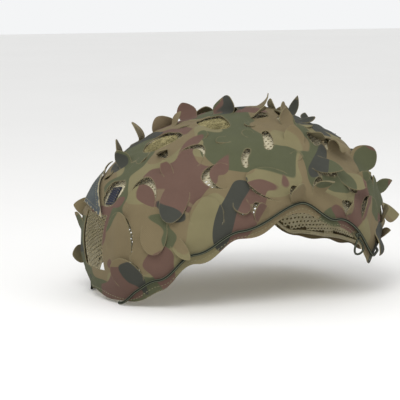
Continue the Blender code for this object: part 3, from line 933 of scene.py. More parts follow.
class CutPattern:
    """A cut pattern on the plane: outer edge, holes, leaves and loose points."""

    def __init__(self, outer: np.ndarray) -> None:
        """Starts the pattern with its outer edge."""
        self.plane: list[np.ndarray] = []
        self.shape: list[np.ndarray] = []
        self.edges: list[tuple[int, int]] = []
        self.holes: list[np.ndarray] = []
        self.flaps: list[np.ndarray] = []
        self.outer = outer
        self.count = 0
        self.add_loop(outer)

    def add_points(self, plane: np.ndarray, shape: np.ndarray | None = None) -> list[int]:
        """Adds plane points, with their place in space if they leave the sheet."""
        self.plane.append(plane)
        self.shape.append(np.full((len(plane), 3), np.nan) if shape is None else shape)
        numbers = list(range(self.count, self.count + len(plane)))
        self.count += len(plane)
        return numbers

    def add_path(self, numbers: list[int]) -> None:
        """Adds edges from point to point."""
        self.edges += list(zip(numbers, numbers[1:]))

    def add_loop(self, outline: np.ndarray) -> None:
        """Adds a closed outline."""
        numbers = self.add_points(outline)
        self.add_path(numbers + numbers[:1])

    def add_hole(self, outline: np.ndarray) -> None:
        """Adds an opening."""
        self.add_loop(outline)
        self.holes.append(outline)

    def add_leaf(self, cut: LeafCut, spacing: float) -> None:
        """Adds a leaf and the opening that it leaves."""
        sides = max(12, round((2.0 * cut.leaf.length + cut.leaf.width) / spacing))
        parts = max(4, round(cut.leaf.width / spacing))
        root = self.add_points(cut.plane_points(cut.root_line(parts)))
        tongue, fold = cut.outline(sides), cut.inner(spacing)
        rim_plane = cut.plane_points(cut.outline(sides, cut.opening_share()))
        tongue_plane = cut.plane_points(tongue)
        edge = self.add_points(tongue_plane, cut.lifted(tongue))
        if len(fold):
            self.add_points(cut.plane_points(fold), cut.lifted(fold))
        opening = self.add_points(rim_plane)
        self.add_path(root)
        self.add_path([root[-1], *edge, root[0]])
        self.add_path([root[-1], *opening, root[0]])
        ends = cut.plane_points(cut.root_line(parts))
        self.holes.append(np.concatenate([ends, rim_plane]))
        self.flaps.append(np.concatenate([ends, tongue_plane]))

    def add_base_points(self, plane: np.ndarray, clearance: float) -> None:
        """Adds points of the plain cloth, kept clear of outlines and holes."""
        keep = inside(plane, self.outer)
        for hole in self.holes:
            keep &= ~inside(plane, hole)
        plane = plane[keep]
        if len(plane):
            known = DOME.surface(np.concatenate(self.plane))
            _, away = nearest(known, DOME.surface(plane))
            self.add_points(plane[away > clearance])

    def mesh(self, surface: Callable) -> tuple[np.ndarray, np.ndarray, np.ndarray]:
        """Cuts the pattern out.

        Args:
            surface: Function from plane points to points in space.

        Returns:
            Vertices, triangles, and the vertices' plane points.
        """
        flat = np.concatenate(self.plane)
        shape = np.concatenate(self.shape)
        result = delaunay_2d_cdt([Vector(p) for p in flat], self.edges, [], 0, 1e-7)
        plane = np.array([tuple(p) for p in result[0]])
        faces = np.array([tuple(f) for f in result[2]])
        centres = plane[faces].mean(axis=1)
        keep = inside(centres, self.outer)
        for hole in self.holes:
            keep &= ~inside(centres, hole)
        for flap in self.flaps:
            keep |= inside(centres, flap)
        vertices = surface(plane)
        for i, source in enumerate(result[3]):
            for s in source:
                if not np.isnan(shape[s, 0]):
                    vertices[i] = shape[s]
                    break
        faces = faces[keep]
        used, inverse = np.unique(faces, return_inverse=True)
        return vertices[used], inverse.reshape(faces.shape), plane[used]


def finished(piece: bpy.types.Object) -> bpy.types.Object:
    """Applies a piece's modifiers to its mesh."""
    graph = bpy.context.evaluated_depsgraph_get()
    mesh = bpy.data.meshes.new_from_object(piece.evaluated_get(graph))
    piece.modifiers.clear()
    piece.data = mesh
    return piece


def new_piece(
    name: str, mesh: bpy.types.Mesh, finishes: list[bpy.types.Material]
) -> bpy.types.Object:
    """Links a new object with its materials."""
    piece = bpy.data.objects.new(name, mesh)
    bpy.context.scene.collection.objects.link(piece)
    for finish in finishes:
        mesh.materials.append(finish)
    return piece


def report(piece: bpy.types.Object, nodes: tuple[str, ...] = ()) -> bpy.types.Object:
    """Rides a piece on the body, lets it replace its CAD nodes, and logs it.

    Args:
        piece: The finished piece.
        nodes: CAD nodes that it stands for.

    Returns:
        The piece.
    """
    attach(piece, BODY)
    if nodes:
        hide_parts(*nodes)
    if piece.type == "MESH":
        piece.data.calc_loop_triangles()
        LOG.info("%s: %d triangles", piece.name, len(piece.data.loop_triangles))
    return piece


@dataclass
class Sheet:
    """A thin cloth cut from a pattern and laid on the dome."""

    name: str
    thickness: float
    finishes: list[bpy.types.Material]
    smooth_angle: float = 55.0

    def build(self, pattern: CutPattern, surface: Callable) -> bpy.types.Object:
        """Makes the sheet.

        Args:
            pattern: Its cut pattern.
            surface: Function from plane points to points in space.

        Returns:
            A closed thin sheet with print, edge and weave coordinates.
        """
        vertices, faces, plane = pattern.mesh(surface)
        mesh = bpy.data.meshes.new(self.name)
        mesh.from_pydata(DOME.into_frame(vertices).tolist(), [], faces.tolist())
        mesh.validate()
        count = len(mesh.vertices)
        place = mesh.attributes.new(PRINT_PLACE, "FLOAT_VECTOR", "POINT")
        place.data.foreach_set("vector", (DOME.surface(plane) * MM).astype(np.float32).ravel())
        sides = np.concatenate([faces[:, pair] for pair in ([0, 1], [1, 2], [2, 0])])
        sides = np.sort(sides, axis=1)
        pairs, times = np.unique(sides, axis=0, return_counts=True)
        edge = np.zeros(count, np.float32)
        edge[pairs[times == 1].ravel()] = 1.0
        mesh.attributes.new(CUT_EDGE, "FLOAT", "POINT").data.foreach_set("value", edge)
        uv = mesh.uv_layers.new(name=UV_NAME)
        corners = np.zeros(len(mesh.loops), np.int32)
        mesh.loops.foreach_get("vertex_index", corners)
        flat = (plane * MM_PER_DEGREE * MM).astype(np.float32)
        uv.data.foreach_set("uv", flat[corners].ravel())
        mesh.shade_smooth()
        piece = new_piece(self.name, mesh, self.finishes)
        wall = piece.modifiers.new("cloth", "SOLIDIFY")
        wall.thickness = self.thickness * MM
        wall.offset = 0.0
        wall.material_offset = 1
        wall.material_offset_rim = 2
        finished(piece)
        piece.data.set_sharp_from_angle(angle=math.radians(self.smooth_angle))
        return piece


def sweep(
    name: str, path: np.ndarray, radius: float, sides: int, finish: bpy.types.Material
) -> bpy.types.Object:
    """Sweeps a round cord along a path.

    Args:
        name: The piece's name.
        path: Points in the row frame, in metres.
        radius: Cord radius in metres.
        sides: Sides of its section.
        finish: Its material.

    Returns:
        A closed tube whose UV runs round (0 to 1) and along (metres).
    """
    ahead = unit(np.gradient(path, axis=0))
    side = np.cross(ahead[0], [0.0, 0.0, 1.0])
    frames = []
    for step in ahead:
        side = side - step * side.dot(step)
        side = side / np.linalg.norm(side)
        frames.append((side, np.cross(step, side)))
    turn = np.arange(sides) * 2.0 * math.pi / sides
    cos, sin = np.cos(turn)[:, None], np.sin(turn)[:, None]
    rings = [p + radius * (cos * s + sin * t) for p, (s, t) in zip(path, frames)]
    work = bmesh.new()
    layer = work.loops.layers.uv.new(UV_NAME)
    loops = [[work.verts.new(v) for v in ring] for ring in rings]
    run = np.concatenate([[0.0], np.cumsum(np.linalg.norm(np.diff(path, axis=0), axis=1))])
    for i in range(len(loops) - 1):
        for k in range(sides):
            m = (k + 1) % sides
            face = work.faces.new((loops[i][k], loops[i][m], loops[i + 1][m], loops[i + 1][k]))
            spots = ((k, i), (k + 1, i), (k + 1, i + 1), (k, i + 1))
            for corner, (around, along) in zip(face.loops, spots):
                corner[layer].uv = (around / sides, run[along])
            face.smooth = True
    for ring in (loops[0], loops[-1]):
        work.faces.new(ring)
    bmesh.ops.recalc_face_normals(work, faces=work.faces)
    mesh = bpy.data.meshes.new(name)
    work.to_mesh(mesh)
    work.free()
    return new_piece(name, mesh, [finish])


class GrowthTree:
    """A Geometry Nodes tree with named inputs, run once on a mesh."""

    def __init__(self, name: str, sizes: dict[str, float]) -> None:
        """Makes the tree with its geometry, size and material sockets."""
        self.tree = bpy.data.node_groups.new(name, "GeometryNodeTree")
        self.sizes = sizes
        face = self.tree.interface
        face.new_socket("Geometry", in_out="OUTPUT", socket_type="NodeSocketGeometry")
        face.new_socket("Geometry", in_out="INPUT", socket_type="NodeSocketGeometry")
        for size in sizes:
            face.new_socket(size, in_out="INPUT", socket_type="NodeSocketFloat")
        face.new_socket("Finish", in_out="INPUT", socket_type="NodeSocketMaterial")
        self.start = self.add("NodeGroupInput").outputs

    def add(self, kind: str, inputs: dict | None = None, **settings) -> bpy.types.Node:
        """Adds a node to the tree."""
        return add_node(self.tree, kind, inputs, **settings)

    def close(self, geometry: Socket) -> None:
        """Ends the tree: instances made real, and the material set."""
        real = self.add("GeometryNodeRealizeInstances", {"Geometry": geometry}).outputs[0]
        inputs = {"Geometry": real, "Material": self.start["Finish"]}
        dressed = self.add("GeometryNodeSetMaterial", inputs).outputs[0]
        self.add("NodeGroupOutput", {"Geometry": dressed})

    def run(self, piece: bpy.types.Object, finish: bpy.types.Material) -> bpy.types.Object:
        """Runs the tree on a piece and keeps the result as its plain mesh.

        Args:
            piece: The piece that it grows on.
            finish: The material that the tree sets.

        Returns:
            The piece.
        """
        growth = piece.modifiers.new("growth", "NODES")
        growth.node_group = self.tree
        for item in self.tree.interface.items_tree:
            if item.in_out == "INPUT" and item.name in self.sizes:
                growth[item.identifier] = self.sizes[item.name]
            elif item.in_out == "INPUT" and item.name == "Finish":
                growth[item.identifier] = finish
        return finished(piece)


# --------------------------------------------------------------------------
# finishes


@dataclass(frozen=True)
class Finish:
    """What every finish shares."""

    name: str
    roughness: float = 0.9
    sheen: float = 0.0
    sheen_roughness: float = 0.6
    gloss: float = 0.12
    bump: float = 0.3
    depth: float = 0.0003

    def start(self) -> tuple[bpy.types.Material, bpy.types.NodeTree, bpy.types.Node]:
        """Makes the material.

        Returns:
            The material, its tree and its Principled node.
        """
        made = bpy.data.materials.new(self.name)
        made.use_nodes = True
        tree = made.node_tree
        shader = tree.nodes["Principled BSDF"]
        shader.inputs["Roughness"].default_value = self.roughness
        shader.inputs["Sheen Weight"].default_value = self.sheen
        shader.inputs["Sheen Roughness"].default_value = self.sheen_roughness
        shader.inputs["Specular IOR Level"].default_value = self.gloss
        return made, tree, shader

    def relief(self, tree: NodeTree, shader: bpy.types.Node, height: Socket) -> None:
        """Links a height to the shader's normal."""
        inputs = {"Strength": self.bump, "Distance": self.depth, "Height": height}
        bump = add_node(tree, "ShaderNodeBump", inputs)
        tree.links.new(bump.outputs["Normal"], shader.inputs["Normal"])


@dataclass(frozen=True)
class Blotch:
    """One colour of the print: how fine it is, how much it covers, and where it falls."""

    colour: str
    scale: float
    level: float
    seed: float


@dataclass(frozen=True)
class PrintedCloth(Finish):
    """Polyester-cotton ripstop, plain woven and printed with a generic four-colour blotch.

    The print gives the eye flat hard-edged patches of matte colour; the weave
    shows only as a fine grain, with its 0.5 mm threads drawn 1 mm apart.
    """

    ground: str = "#85775A"
    blotches: tuple[Blotch, ...] = (
        Blotch("#8B8361", 15.0, 0.560, 3.0),
        Blotch("#5F6249", 16.0, 0.545, 11.0),
        Blotch("#735A4F", 18.0, 0.570, 23.0),
        Blotch("#4A4B44", 18.0, 0.610, 41.0),
    )
    blotch_edge: float = 0.006
    soil_scale: float = 60.0
    tone: tuple[float, float] = (0.60, 0.74)
    cut: str = "#7C7257"
    cut_from: float = 0.72
    cut_share: float = 0.5
    fade: float = 0.0
    faded: str = "#7C7156"
    thread: float = 0.001

    def build(self) -> bpy.types.Material:
        """Makes the material."""
        made, tree, shader = self.start()
        place = attribute(tree, PRINT_PLACE, "Vector")
        colour = linear(self.ground)
        for blotch in self.blotches:
            away = (blotch.seed, blotch.seed * 0.7, -blotch.seed)
            inputs = {0: place, 1: away}
            moved = add_node(tree, "ShaderNodeVectorMath", inputs, operation="ADD").outputs[0]
            cloud = noise(tree, moved, blotch.scale, 1.2, roughness=0.4, distortion=0.45)
            patch = ranged(tree, cloud, (blotch.level, blotch.level + self.blotch_edge))
            colour = mixed(tree, patch, colour, linear(blotch.colour))
        soil = noise(tree, place, self.soil_scale, 4.0)
        inputs = {0: colour, "Scale": ranged(tree, soil, (0.0, 1.0), self.tone)}
        shade = add_node(tree, "ShaderNodeVectorMath", inputs, operation="SCALE").outputs[0]
        colour = mixed(tree, self.fade, shade, linear(self.faded))
        near = ranged(tree, attribute(tree, CUT_EDGE), (self.cut_from, 1.0), (0.0, self.cut_share))
        colour = mixed(tree, near, colour, linear(self.cut))
        tree.links.new(colour, shader.inputs["Base Color"])
        warp, weft = (bands(tree, self.thread, way, 0.6, 1.0) for way in ("X", "Y"))
        self.relief(tree, shader, reckoned(tree, "ADD", warp, weft))
        return made


@dataclass(frozen=True)
class DyedCloth(Finish):
    """Cloth, thread or knit dyed in one colour, with a slight heather from its yarns."""

    colour: str = "#474C4B"
    heather: str = "#565B5A"
    cut: str = "#A79B7C"
    edge_share: float = 0.0
    edge_band: tuple[float, float] = (0.3, 0.7)
    grain: float = 900.0
    patchiness: float = 90.0
    heather_band: tuple[float, float] = (0.15, 0.4)

    def build(self) -> bpy.types.Material:
        """Makes the material."""
        made, tree, shader = self.start()
        place = add_node(tree, "ShaderNodeTexCoord").outputs["Object"]
        fine = noise(tree, place, self.grain, 3.0)
        broad = noise(tree, place, self.patchiness, 3.0)
        both = reckoned(tree, "MULTIPLY", fine, broad)
        ramp = ranged(tree, both, self.heather_band)
        colour = mixed(tree, ramp, linear(self.colour), linear(self.heather))
        if self.edge_share:
            edge = attribute(tree, CUT_EDGE)
            near = ranged(tree, edge, self.edge_band, (0.0, self.edge_share))
            colour = mixed(tree, near, colour, linear(self.cut))
        tree.links.new(colour, shader.inputs["Base Color"])
        self.relief(tree, shader, fine)
        return made


@dataclass(frozen=True)
class Webbing(Finish):
    """Woven nylon webbing: a slight gloss, ribs 1.2 mm apart that are drawn 1.6 mm apart, and a
    painted bluish highlight on the ribs' crests.
    """

    colour: str = "#22242C"
    # painted highlight: the bluish grey of the lit rib crests
    light: str = "#353843"
    rib: float = 0.0016

    def build(self) -> bpy.types.Material:
        """Makes the material."""
        made, tree, shader = self.start()
        ribs = bands(tree, self.rib, "Y", 0.3)
        # painted highlight: rib crests coloured lighter, following the bump
        colour = mixed(tree, ribs, linear(self.colour), linear(self.light))
        tree.links.new(colour, shader.inputs["Base Color"])
        self.relief(tree, shader, ribs)
        return made


@dataclass(frozen=True)
class ElasticBraid(Finish):
    """Braided elastic cord: dark strands laid 2 mm long, with a painted highlight drawn as
    green-grey lines along the cord.
    """

    dark: str = "#1B1D17"
    # painted highlight: green-grey standing in for the light on the cord's round top
    painted_highlight: str = "#5C6150"
    strand: float = 0.002
    strands: float = 4.0
    painted_highlight_band: tuple[float, float] = (0.22, 0.12)

    def build(self) -> bpy.types.Material:
        """Makes the material."""
        made, tree, shader = self.start()
        place = add_node(tree, "ShaderNodeUVMap", uv_map=UV_NAME).outputs["UV"]
        parts = add_node(tree, "ShaderNodeSeparateXYZ", {"Vector": place}).outputs
        along = reckoned(tree, "MULTIPLY", parts["Y"], 1.0 / self.strand)
        around = reckoned(tree, "MULTIPLY", parts["X"], self.strands)
        lay = reckoned(tree, "ADD", along, around)
        braid = reckoned(tree, "SINE", reckoned(tree, "MULTIPLY", lay, math.tau))
        # painted highlight: a green-grey line along the middle of each quarter round the cord
        middle = reckoned(tree, "SUBTRACT", reckoned(tree, "FRACT", around), 0.5)
        line = ranged(tree, reckoned(tree, "ABSOLUTE", middle), self.painted_highlight_band)
        colour = mixed(tree, line, linear(self.dark), linear(self.painted_highlight))
        tree.links.new(colour, shader.inputs["Base Color"])
        self.relief(tree, shader, braid)
        return made


@dataclass(frozen=True)
class Plaster(Finish):
    """The plain pale floor."""

    colour: str = "#EDECEA"
    fleck: str = "#F1F0EE"
    fleck_scale: float = 3.0

    def build(self) -> bpy.types.Material:
        """Makes the material."""
        made, tree, shader = self.start()
        place = add_node(tree, "ShaderNodeTexCoord").outputs["Object"]
        cloud = noise(tree, place, self.fleck_scale, 2.0)
        colour = mixed(tree, cloud, linear(self.colour), linear(self.fleck))
        tree.links.new(colour, shader.inputs["Base Color"])
        return made


# --------------------------------------------------------------------------
# sub-assemblies


@dataclass
class StitchRow:
    """A row of sewn stitches along a line, made by Geometry Nodes."""

    name: str
    finish: bpy.types.Material
    pitch: float = 3.4
    stitch: float = 2.3
    thread: float = 0.7

    def growth(self) -> GrowthTree:
        """The tree that sets a stitch at every pitch along the lines."""
        sizes = {"Pitch": self.pitch, "Stitch": self.stitch, "Thread": self.thread}
        tree = GrowthTree("stitches", {name: size * MM for name, size in sizes.items()})
        start = tree.start
        curve = tree.add("GeometryNodeMeshToCurve", {"Mesh": start["Geometry"]}).outputs[0]
        inputs = {"Curve": curve, "Length": start["Pitch"]}
        spaced = tree.add("GeometryNodeResampleCurve", inputs, mode="LENGTH").outputs[0]
        inputs = {"Vector": tree.add("GeometryNodeInputTangent").outputs[0]}
        turned = tree.add("FunctionNodeAlignRotationToVector", inputs, axis="X").outputs[0]
        inputs = {"Segments": 6, "Rings": 4, "Radius": 0.5}
        bead = tree.add("GeometryNodeMeshUVSphere", inputs).outputs[0]
        inputs = {"X": start["Stitch"], "Y": start["Thread"], "Z": start["Thread"]}
        size = tree.add("ShaderNodeCombineXYZ", inputs).outputs[0]
        inputs = {"Points": spaced, "Instance": bead, "Rotation": turned, "Scale": size}
        tree.close(tree.add("GeometryNodeInstanceOnPoints", inputs).outputs[0])
        return tree

    def build(self, lines: list[np.ndarray]) -> bpy.types.Object:
        """Sews the rows.

        Args:
            lines: Paths in the row frame, in metres.

        Returns:
            The stitches as one piece.
        """
        mesh = bpy.data.meshes.new(self.name)
        points, edges = [], []
        for line in lines:
            first = len(points)
            points += line.tolist()
            edges += [(i, i + 1) for i in range(first, len(points) - 1)]
        mesh.from_pydata(points, edges, [])
        tree = self.growth()
        return tree.run(new_piece(self.name, mesh, [self.finish]), self.finish)


@dataclass
class LeafCloth:
    """The camouflage cloth, cut in leaves that lift and curl."""

    thickness: float = 0.8
    spacing: float = 2.4
    base_spacing: float = 4.2
    base_jitter: float = 0.3
    rim_rise: float = 1.5
    rim_parts: int = 21
    full_leaf: float = 22.0
    seam_above: float = 1.3
    seam_rise: float = 0.5
    flat: tuple[float, float] = (0.38, 0.42)
    area: float = 0.119

    def all_leaves(self, lie: ClothLie) -> tuple[Leaf, ...]:
        """The leaves of the table, then those of the rule, then the small ones between."""
        line = cord_plane(np.arange(0.0, 360.0, 5.0))
        cut_out = [outline_of(corners, OPENING_PARTS) for corners in (*OPENINGS, TAB_CORNERS)]
        keep_out = np.concatenate([DOME.window_outline(rows=7), line, *cut_out])
        wide = LeafRule(lie, 900, 112.0, 2.5, FILL_KINDS, SMALL_KIND)
        leaves = LEAVES + wide.leaves(LEAVES, keep_out)
        LOG.info("%d leaves as in the solids", len(leaves))
        tiny = LeafRule(lie, 2600, 113.0, 1.6, TINY_KINDS, above_hem=9.0)
        return leaves + tiny.leaves(leaves, keep_out)

    def raised_rims(self, leaves: tuple[Leaf, ...], lie: ClothLie) -> ClothLie:
        """The cloth's lie with the rims of all openings raised, each by its own amount."""
        rims, rises = [], []
        turn = np.linspace(0.0, np.pi, self.rim_parts + 1)[1:-1]
        for i, leaf in enumerate(leaves):
            cut = LeafCut(leaf, lie)
            rims.append(DOME.surface(cut.plane_points(cut.outline(self.rim_parts, LeafCut.gap))))
            size = min(1.0, leaf.length / self.full_leaf)
            rises.append(np.sin(turn) * self.rim_rise * size * (0.7 + 0.6 * ((i * 7) % 5) / 4.0))
        return ClothLie(rims=np.concatenate(rims), rim_rise=np.concatenate(rises))

    def pattern(self, leaves: tuple[Leaf, ...], lie: ClothLie) -> CutPattern:
        """The cloth's cut pattern."""
        pattern = CutPattern(DOME.hem_outline())
        pattern.add_hole(DOME.window_outline())
        for corners in OPENINGS:
            pattern.add_hole(rounded(outline_of(corners)))
        for leaf in leaves:
            pattern.add_leaf(LeafCut(leaf, lie), self.spacing)
        points = DOME.ring_points(self.base_spacing, jitter=self.base_jitter)
        pattern.add_base_points(points, self.base_spacing * 0.5)
        return pattern

    def build(self, thread: bpy.types.Material) -> None:
        """Makes the cloth and its hem stitches.

        Args:
            thread: Material of the sewing thread.
        """
        lie = ClothLie()
        leaves = self.all_leaves(lie)
        LOG.info("%d leaves in all", len(leaves))
        folded = self.raised_rims(leaves, lie)
        matte = {"roughness": 0.95, "sheen": 0.03}
        front = PrintedCloth("printed_ripstop_cloth", **matte).build()
        back = PrintedCloth("cloth_back", **matte, fade=0.62).build()
        edge = DyedCloth("cut_cloth_edge", colour="#6F674D", heather="#7C7358").build()
        sheet = Sheet("leaf_cloth", self.thickness, [front, back, edge])
        piece = sheet.build(self.pattern(leaves, folded), folded.surface)
        report(piece, ("leaf_layer",))
        azimuth = np.linspace(0.0, 360.0, 361)
        line = on_plane(azimuth, DOME.along_hem(azimuth) - self.seam_above)
        row = DOME.into_frame(DOME.raised(line, folded.folded(line) + self.seam_rise))
        stitches = StitchRow("hem_stitches", thread).build([row])
        report(stitches)


@dataclass
class NetCap:
    """The openwork base cap: a knit with slanted oval holes, bound at its edges."""

    middle: float = -5.9
    thickness: float = 0.9
    frequency: int = 36
    tilt_cos: float = 0.985
    tilt_sin: float = 0.17
    skirt_share: float = 0.9
    hole: float = 0.37
    slant: float = 1.4
    slant_axis: tuple[float, float, float] = (0.0, 1.0, 0.35)
    smooth_angle: float = 50.0
    border: float = 1.9
    tape_bulge: float = 0.25
    shorter: float = 1.5
    under_tape: float = 0.6
    window_inset: float = -0.4
    flat: tuple[float, float] = (0.19, 0.42)
    area: float = 0.0535

    def lattice(self, half: Half) -> bpy.types.Mesh:
        """A triangle lattice of hole centres over one half of the dome."""
        work = bmesh.new()
        bmesh.ops.create_icosphere(work, subdivisions=1, radius=1.0)
        cuts = self.frequency - 1
        bmesh.ops.subdivide_edges(work, edges=work.edges, cuts=cuts, use_grid_fill=True)
        points = unit(np.array([tuple(v.co) for v in work.verts]))
        cos, sin = self.tilt_cos, self.tilt_sin
        points = points @ np.array([[cos, -sin, 0.0], [sin, cos, 0.0], [0.0, 0.0, 1.0]]).T
        middle = (DOME.rear_reach - DOME.front_reach) / 2.0
        reach = (DOME.rear_reach + DOME.front_reach) / 2.0
        low = DOME.skirt_depth * self.skirt_share
        x, y = points[:, 0] * DOME.half_width, middle + points[:, 1] * reach
        z = points[:, 2] * np.where(points[:, 2] > 0, DOME.crown_height, low)
        polar = np.degrees(np.arctan2(np.hypot(x, y), z))
        plane = on_plane(np.degrees(np.arctan2(x, -y)), polar)
        keep = inside(plane, DOME.hem_outline(self.shorter + self.under_tape, ripple=0.0))
        keep &= ~inside(plane, DOME.window_outline(inset=self.window_inset))
        keep &= x * half.value > -HALF_OVERLAP[half]
        places = DOME.into_frame(DOME.raised(plane, np.full(len(plane), self.middle)))
        for vertex, place in zip(work.verts, places):
            vertex.co = place
        gone = [v for v, k in zip(work.verts, keep) if not k]
        bmesh.ops.delete(work, geom=gone, context="VERTS")
        bmesh.ops.recalc_face_normals(work, faces=work.faces)
        if sum(f.normal.z * f.calc_area() for f in work.faces) < 0.0:
            bmesh.ops.reverse_faces(work, faces=work.faces)
        mesh = bpy.data.meshes.new("net")
        work.to_mesh(mesh)
        work.free()
        return mesh

    def growth(self) -> GrowthTree:
        """The tree that knits a cell round each hole centre."""
        tree = GrowthTree("knit_net", {"Hole Share": self.hole, "Slant": self.slant})
        cells = tree.add("GeometryNodeDualMesh", {"Mesh": tree.start["Geometry"]}).outputs[0]
        inputs = {"Mesh": cells, "Offset Scale": 0.0, "Individual": True}
        holes = tree.add("GeometryNodeExtrudeMesh", inputs, mode="FACES").outputs
        part = {"Selection": holes["Top"]}
        inputs = {"Geometry": holes["Mesh"], "Scale": tree.start["Hole Share"], **part}
        shrunk = tree.add("GeometryNodeScaleElements", inputs, domain="FACE").outputs[0]
        inputs = {"Geometry": shrunk, "Scale": tree.start["Slant"], **part}
        oval = tree.add(
            "GeometryNodeScaleElements",
            {**inputs, "Axis": self.slant_axis},
            domain="FACE",
            scale_mode="SINGLE_AXIS",
        )
        inputs = {"Geometry": oval.outputs[0], **part}
        tree.close(tree.add("GeometryNodeDeleteGeometry", inputs, domain="FACE").outputs[0])
        return tree

    def binding(self, outline: np.ndarray, name: str) -> bpy.types.Mesh:
        """A folded binding tape along a closed edge.

        Args:
            outline: Plane points of the edge.
            name: The mesh's name.

        Returns:
            The tape's middle surface.
        """
        inner = outline * (1.0 - self.border / polar_of(outline))[:, None]
        rows = [outline, (outline * 2.0 + inner) / 3.0, (outline + inner * 2.0) / 3.0, inner]
        heights = (0.0, self.tape_bulge, self.tape_bulge, 0.0)
        count = len(outline)
        rings = [DOME.raised(r, np.full(count, self.middle + h)) for r, h in zip(rows, heights)]
        faces = []
        for first in range(0, count * (len(rows) - 1), count):
            for i in range(count):
                j = (i + 1) % count
                faces.append((first + i, first + j, first + count + j, first + count + i))
        mesh = bpy.data.meshes.new(name)
        mesh.from_pydata(DOME.into_frame(np.concatenate(rings)).tolist(), [], faces)
        mesh.shade_smooth()
        return mesh

    def thickened(self, piece: bpy.types.Object, thickness: float) -> bpy.types.Object:
        """Gives a piece its thickness in millimetres."""
        wall = piece.modifiers.new("wall", "SOLIDIFY")
        wall.thickness = thickness * MM
        wall.offset = 0.0
        return finished(piece)

    def build(self) -> None:
        """Makes both halves and the binding."""
        look = {"colour": "#BDB494", "heather": "#D2CAB0"}
        yarn = DyedCloth("knitted_spacer_yarn", **look, bump=0.3, sheen=0.1).build()
        tree = self.growth()
        for half in Half:
            piece = new_piece(f"net_{half.name.lower()}", self.lattice(half), [yarn])
            self.thickened(tree.run(piece, yarn), self.thickness)
            piece.data.shade_smooth()
            piece.data.set_sharp_from_angle(angle=math.radians(self.smooth_angle))
            report(piece, ("net_cap",))
        mesh = self.binding(DOME.hem_outline(self.shorter, ripple=0.0), "net_binding")
        tape = self.thickened(new_piece("net_binding", mesh, [yarn]), self.thickness * 1.3)
        report(tape)


@dataclass(frozen=True)
class Patch:
    """A loop-pile patch: its place and sizes."""

    name: str
    azimuth: float
    polar: float
    heading: float
    length: float
    width: float

    def outline(self, sides: int = 48) -> np.ndarray:
        """The patch's rounded outline, laid on the plane."""
        turn = np.arange(sides) * 2.0 * np.pi / sides
        x, y = (np.sign(way) * np.abs(way) ** (2.0 / 3.0) for way in (np.cos(turn), np.sin(turn)))
        local = np.stack([x * self.width / 2.0, y * self.length / 2.0], -1)
        place = Leaf(self.azimuth, self.polar, self.heading, 1, 1, 0, 0, 0, 1)
        return LeafCut(place, ClothLie()).plane_points(local)


PATCHES = (
    Patch("pile_patch_crown", 27, 23.5, 60, 36, 44),
    Patch("pile_patch_front", 7, 43.5, 20, 36, 34),
)


def seam(outline: np.ndarray, inset: float, height: Callable) -> np.ndarray:
    """A closed line of stitches inside an outline.

    Args:
        outline: Plane points of the edge.
        inset: Share of the way from the edge to its centre.
        height: Function from plane points to heights over the dome.

    Returns:
        The path in the row frame, in metres.
    """
    line = outline + (outline.mean(0) - outline) * inset
    line = np.vstack([line, line[:1]])
    return DOME.into_frame(DOME.raised(line, height(line)))


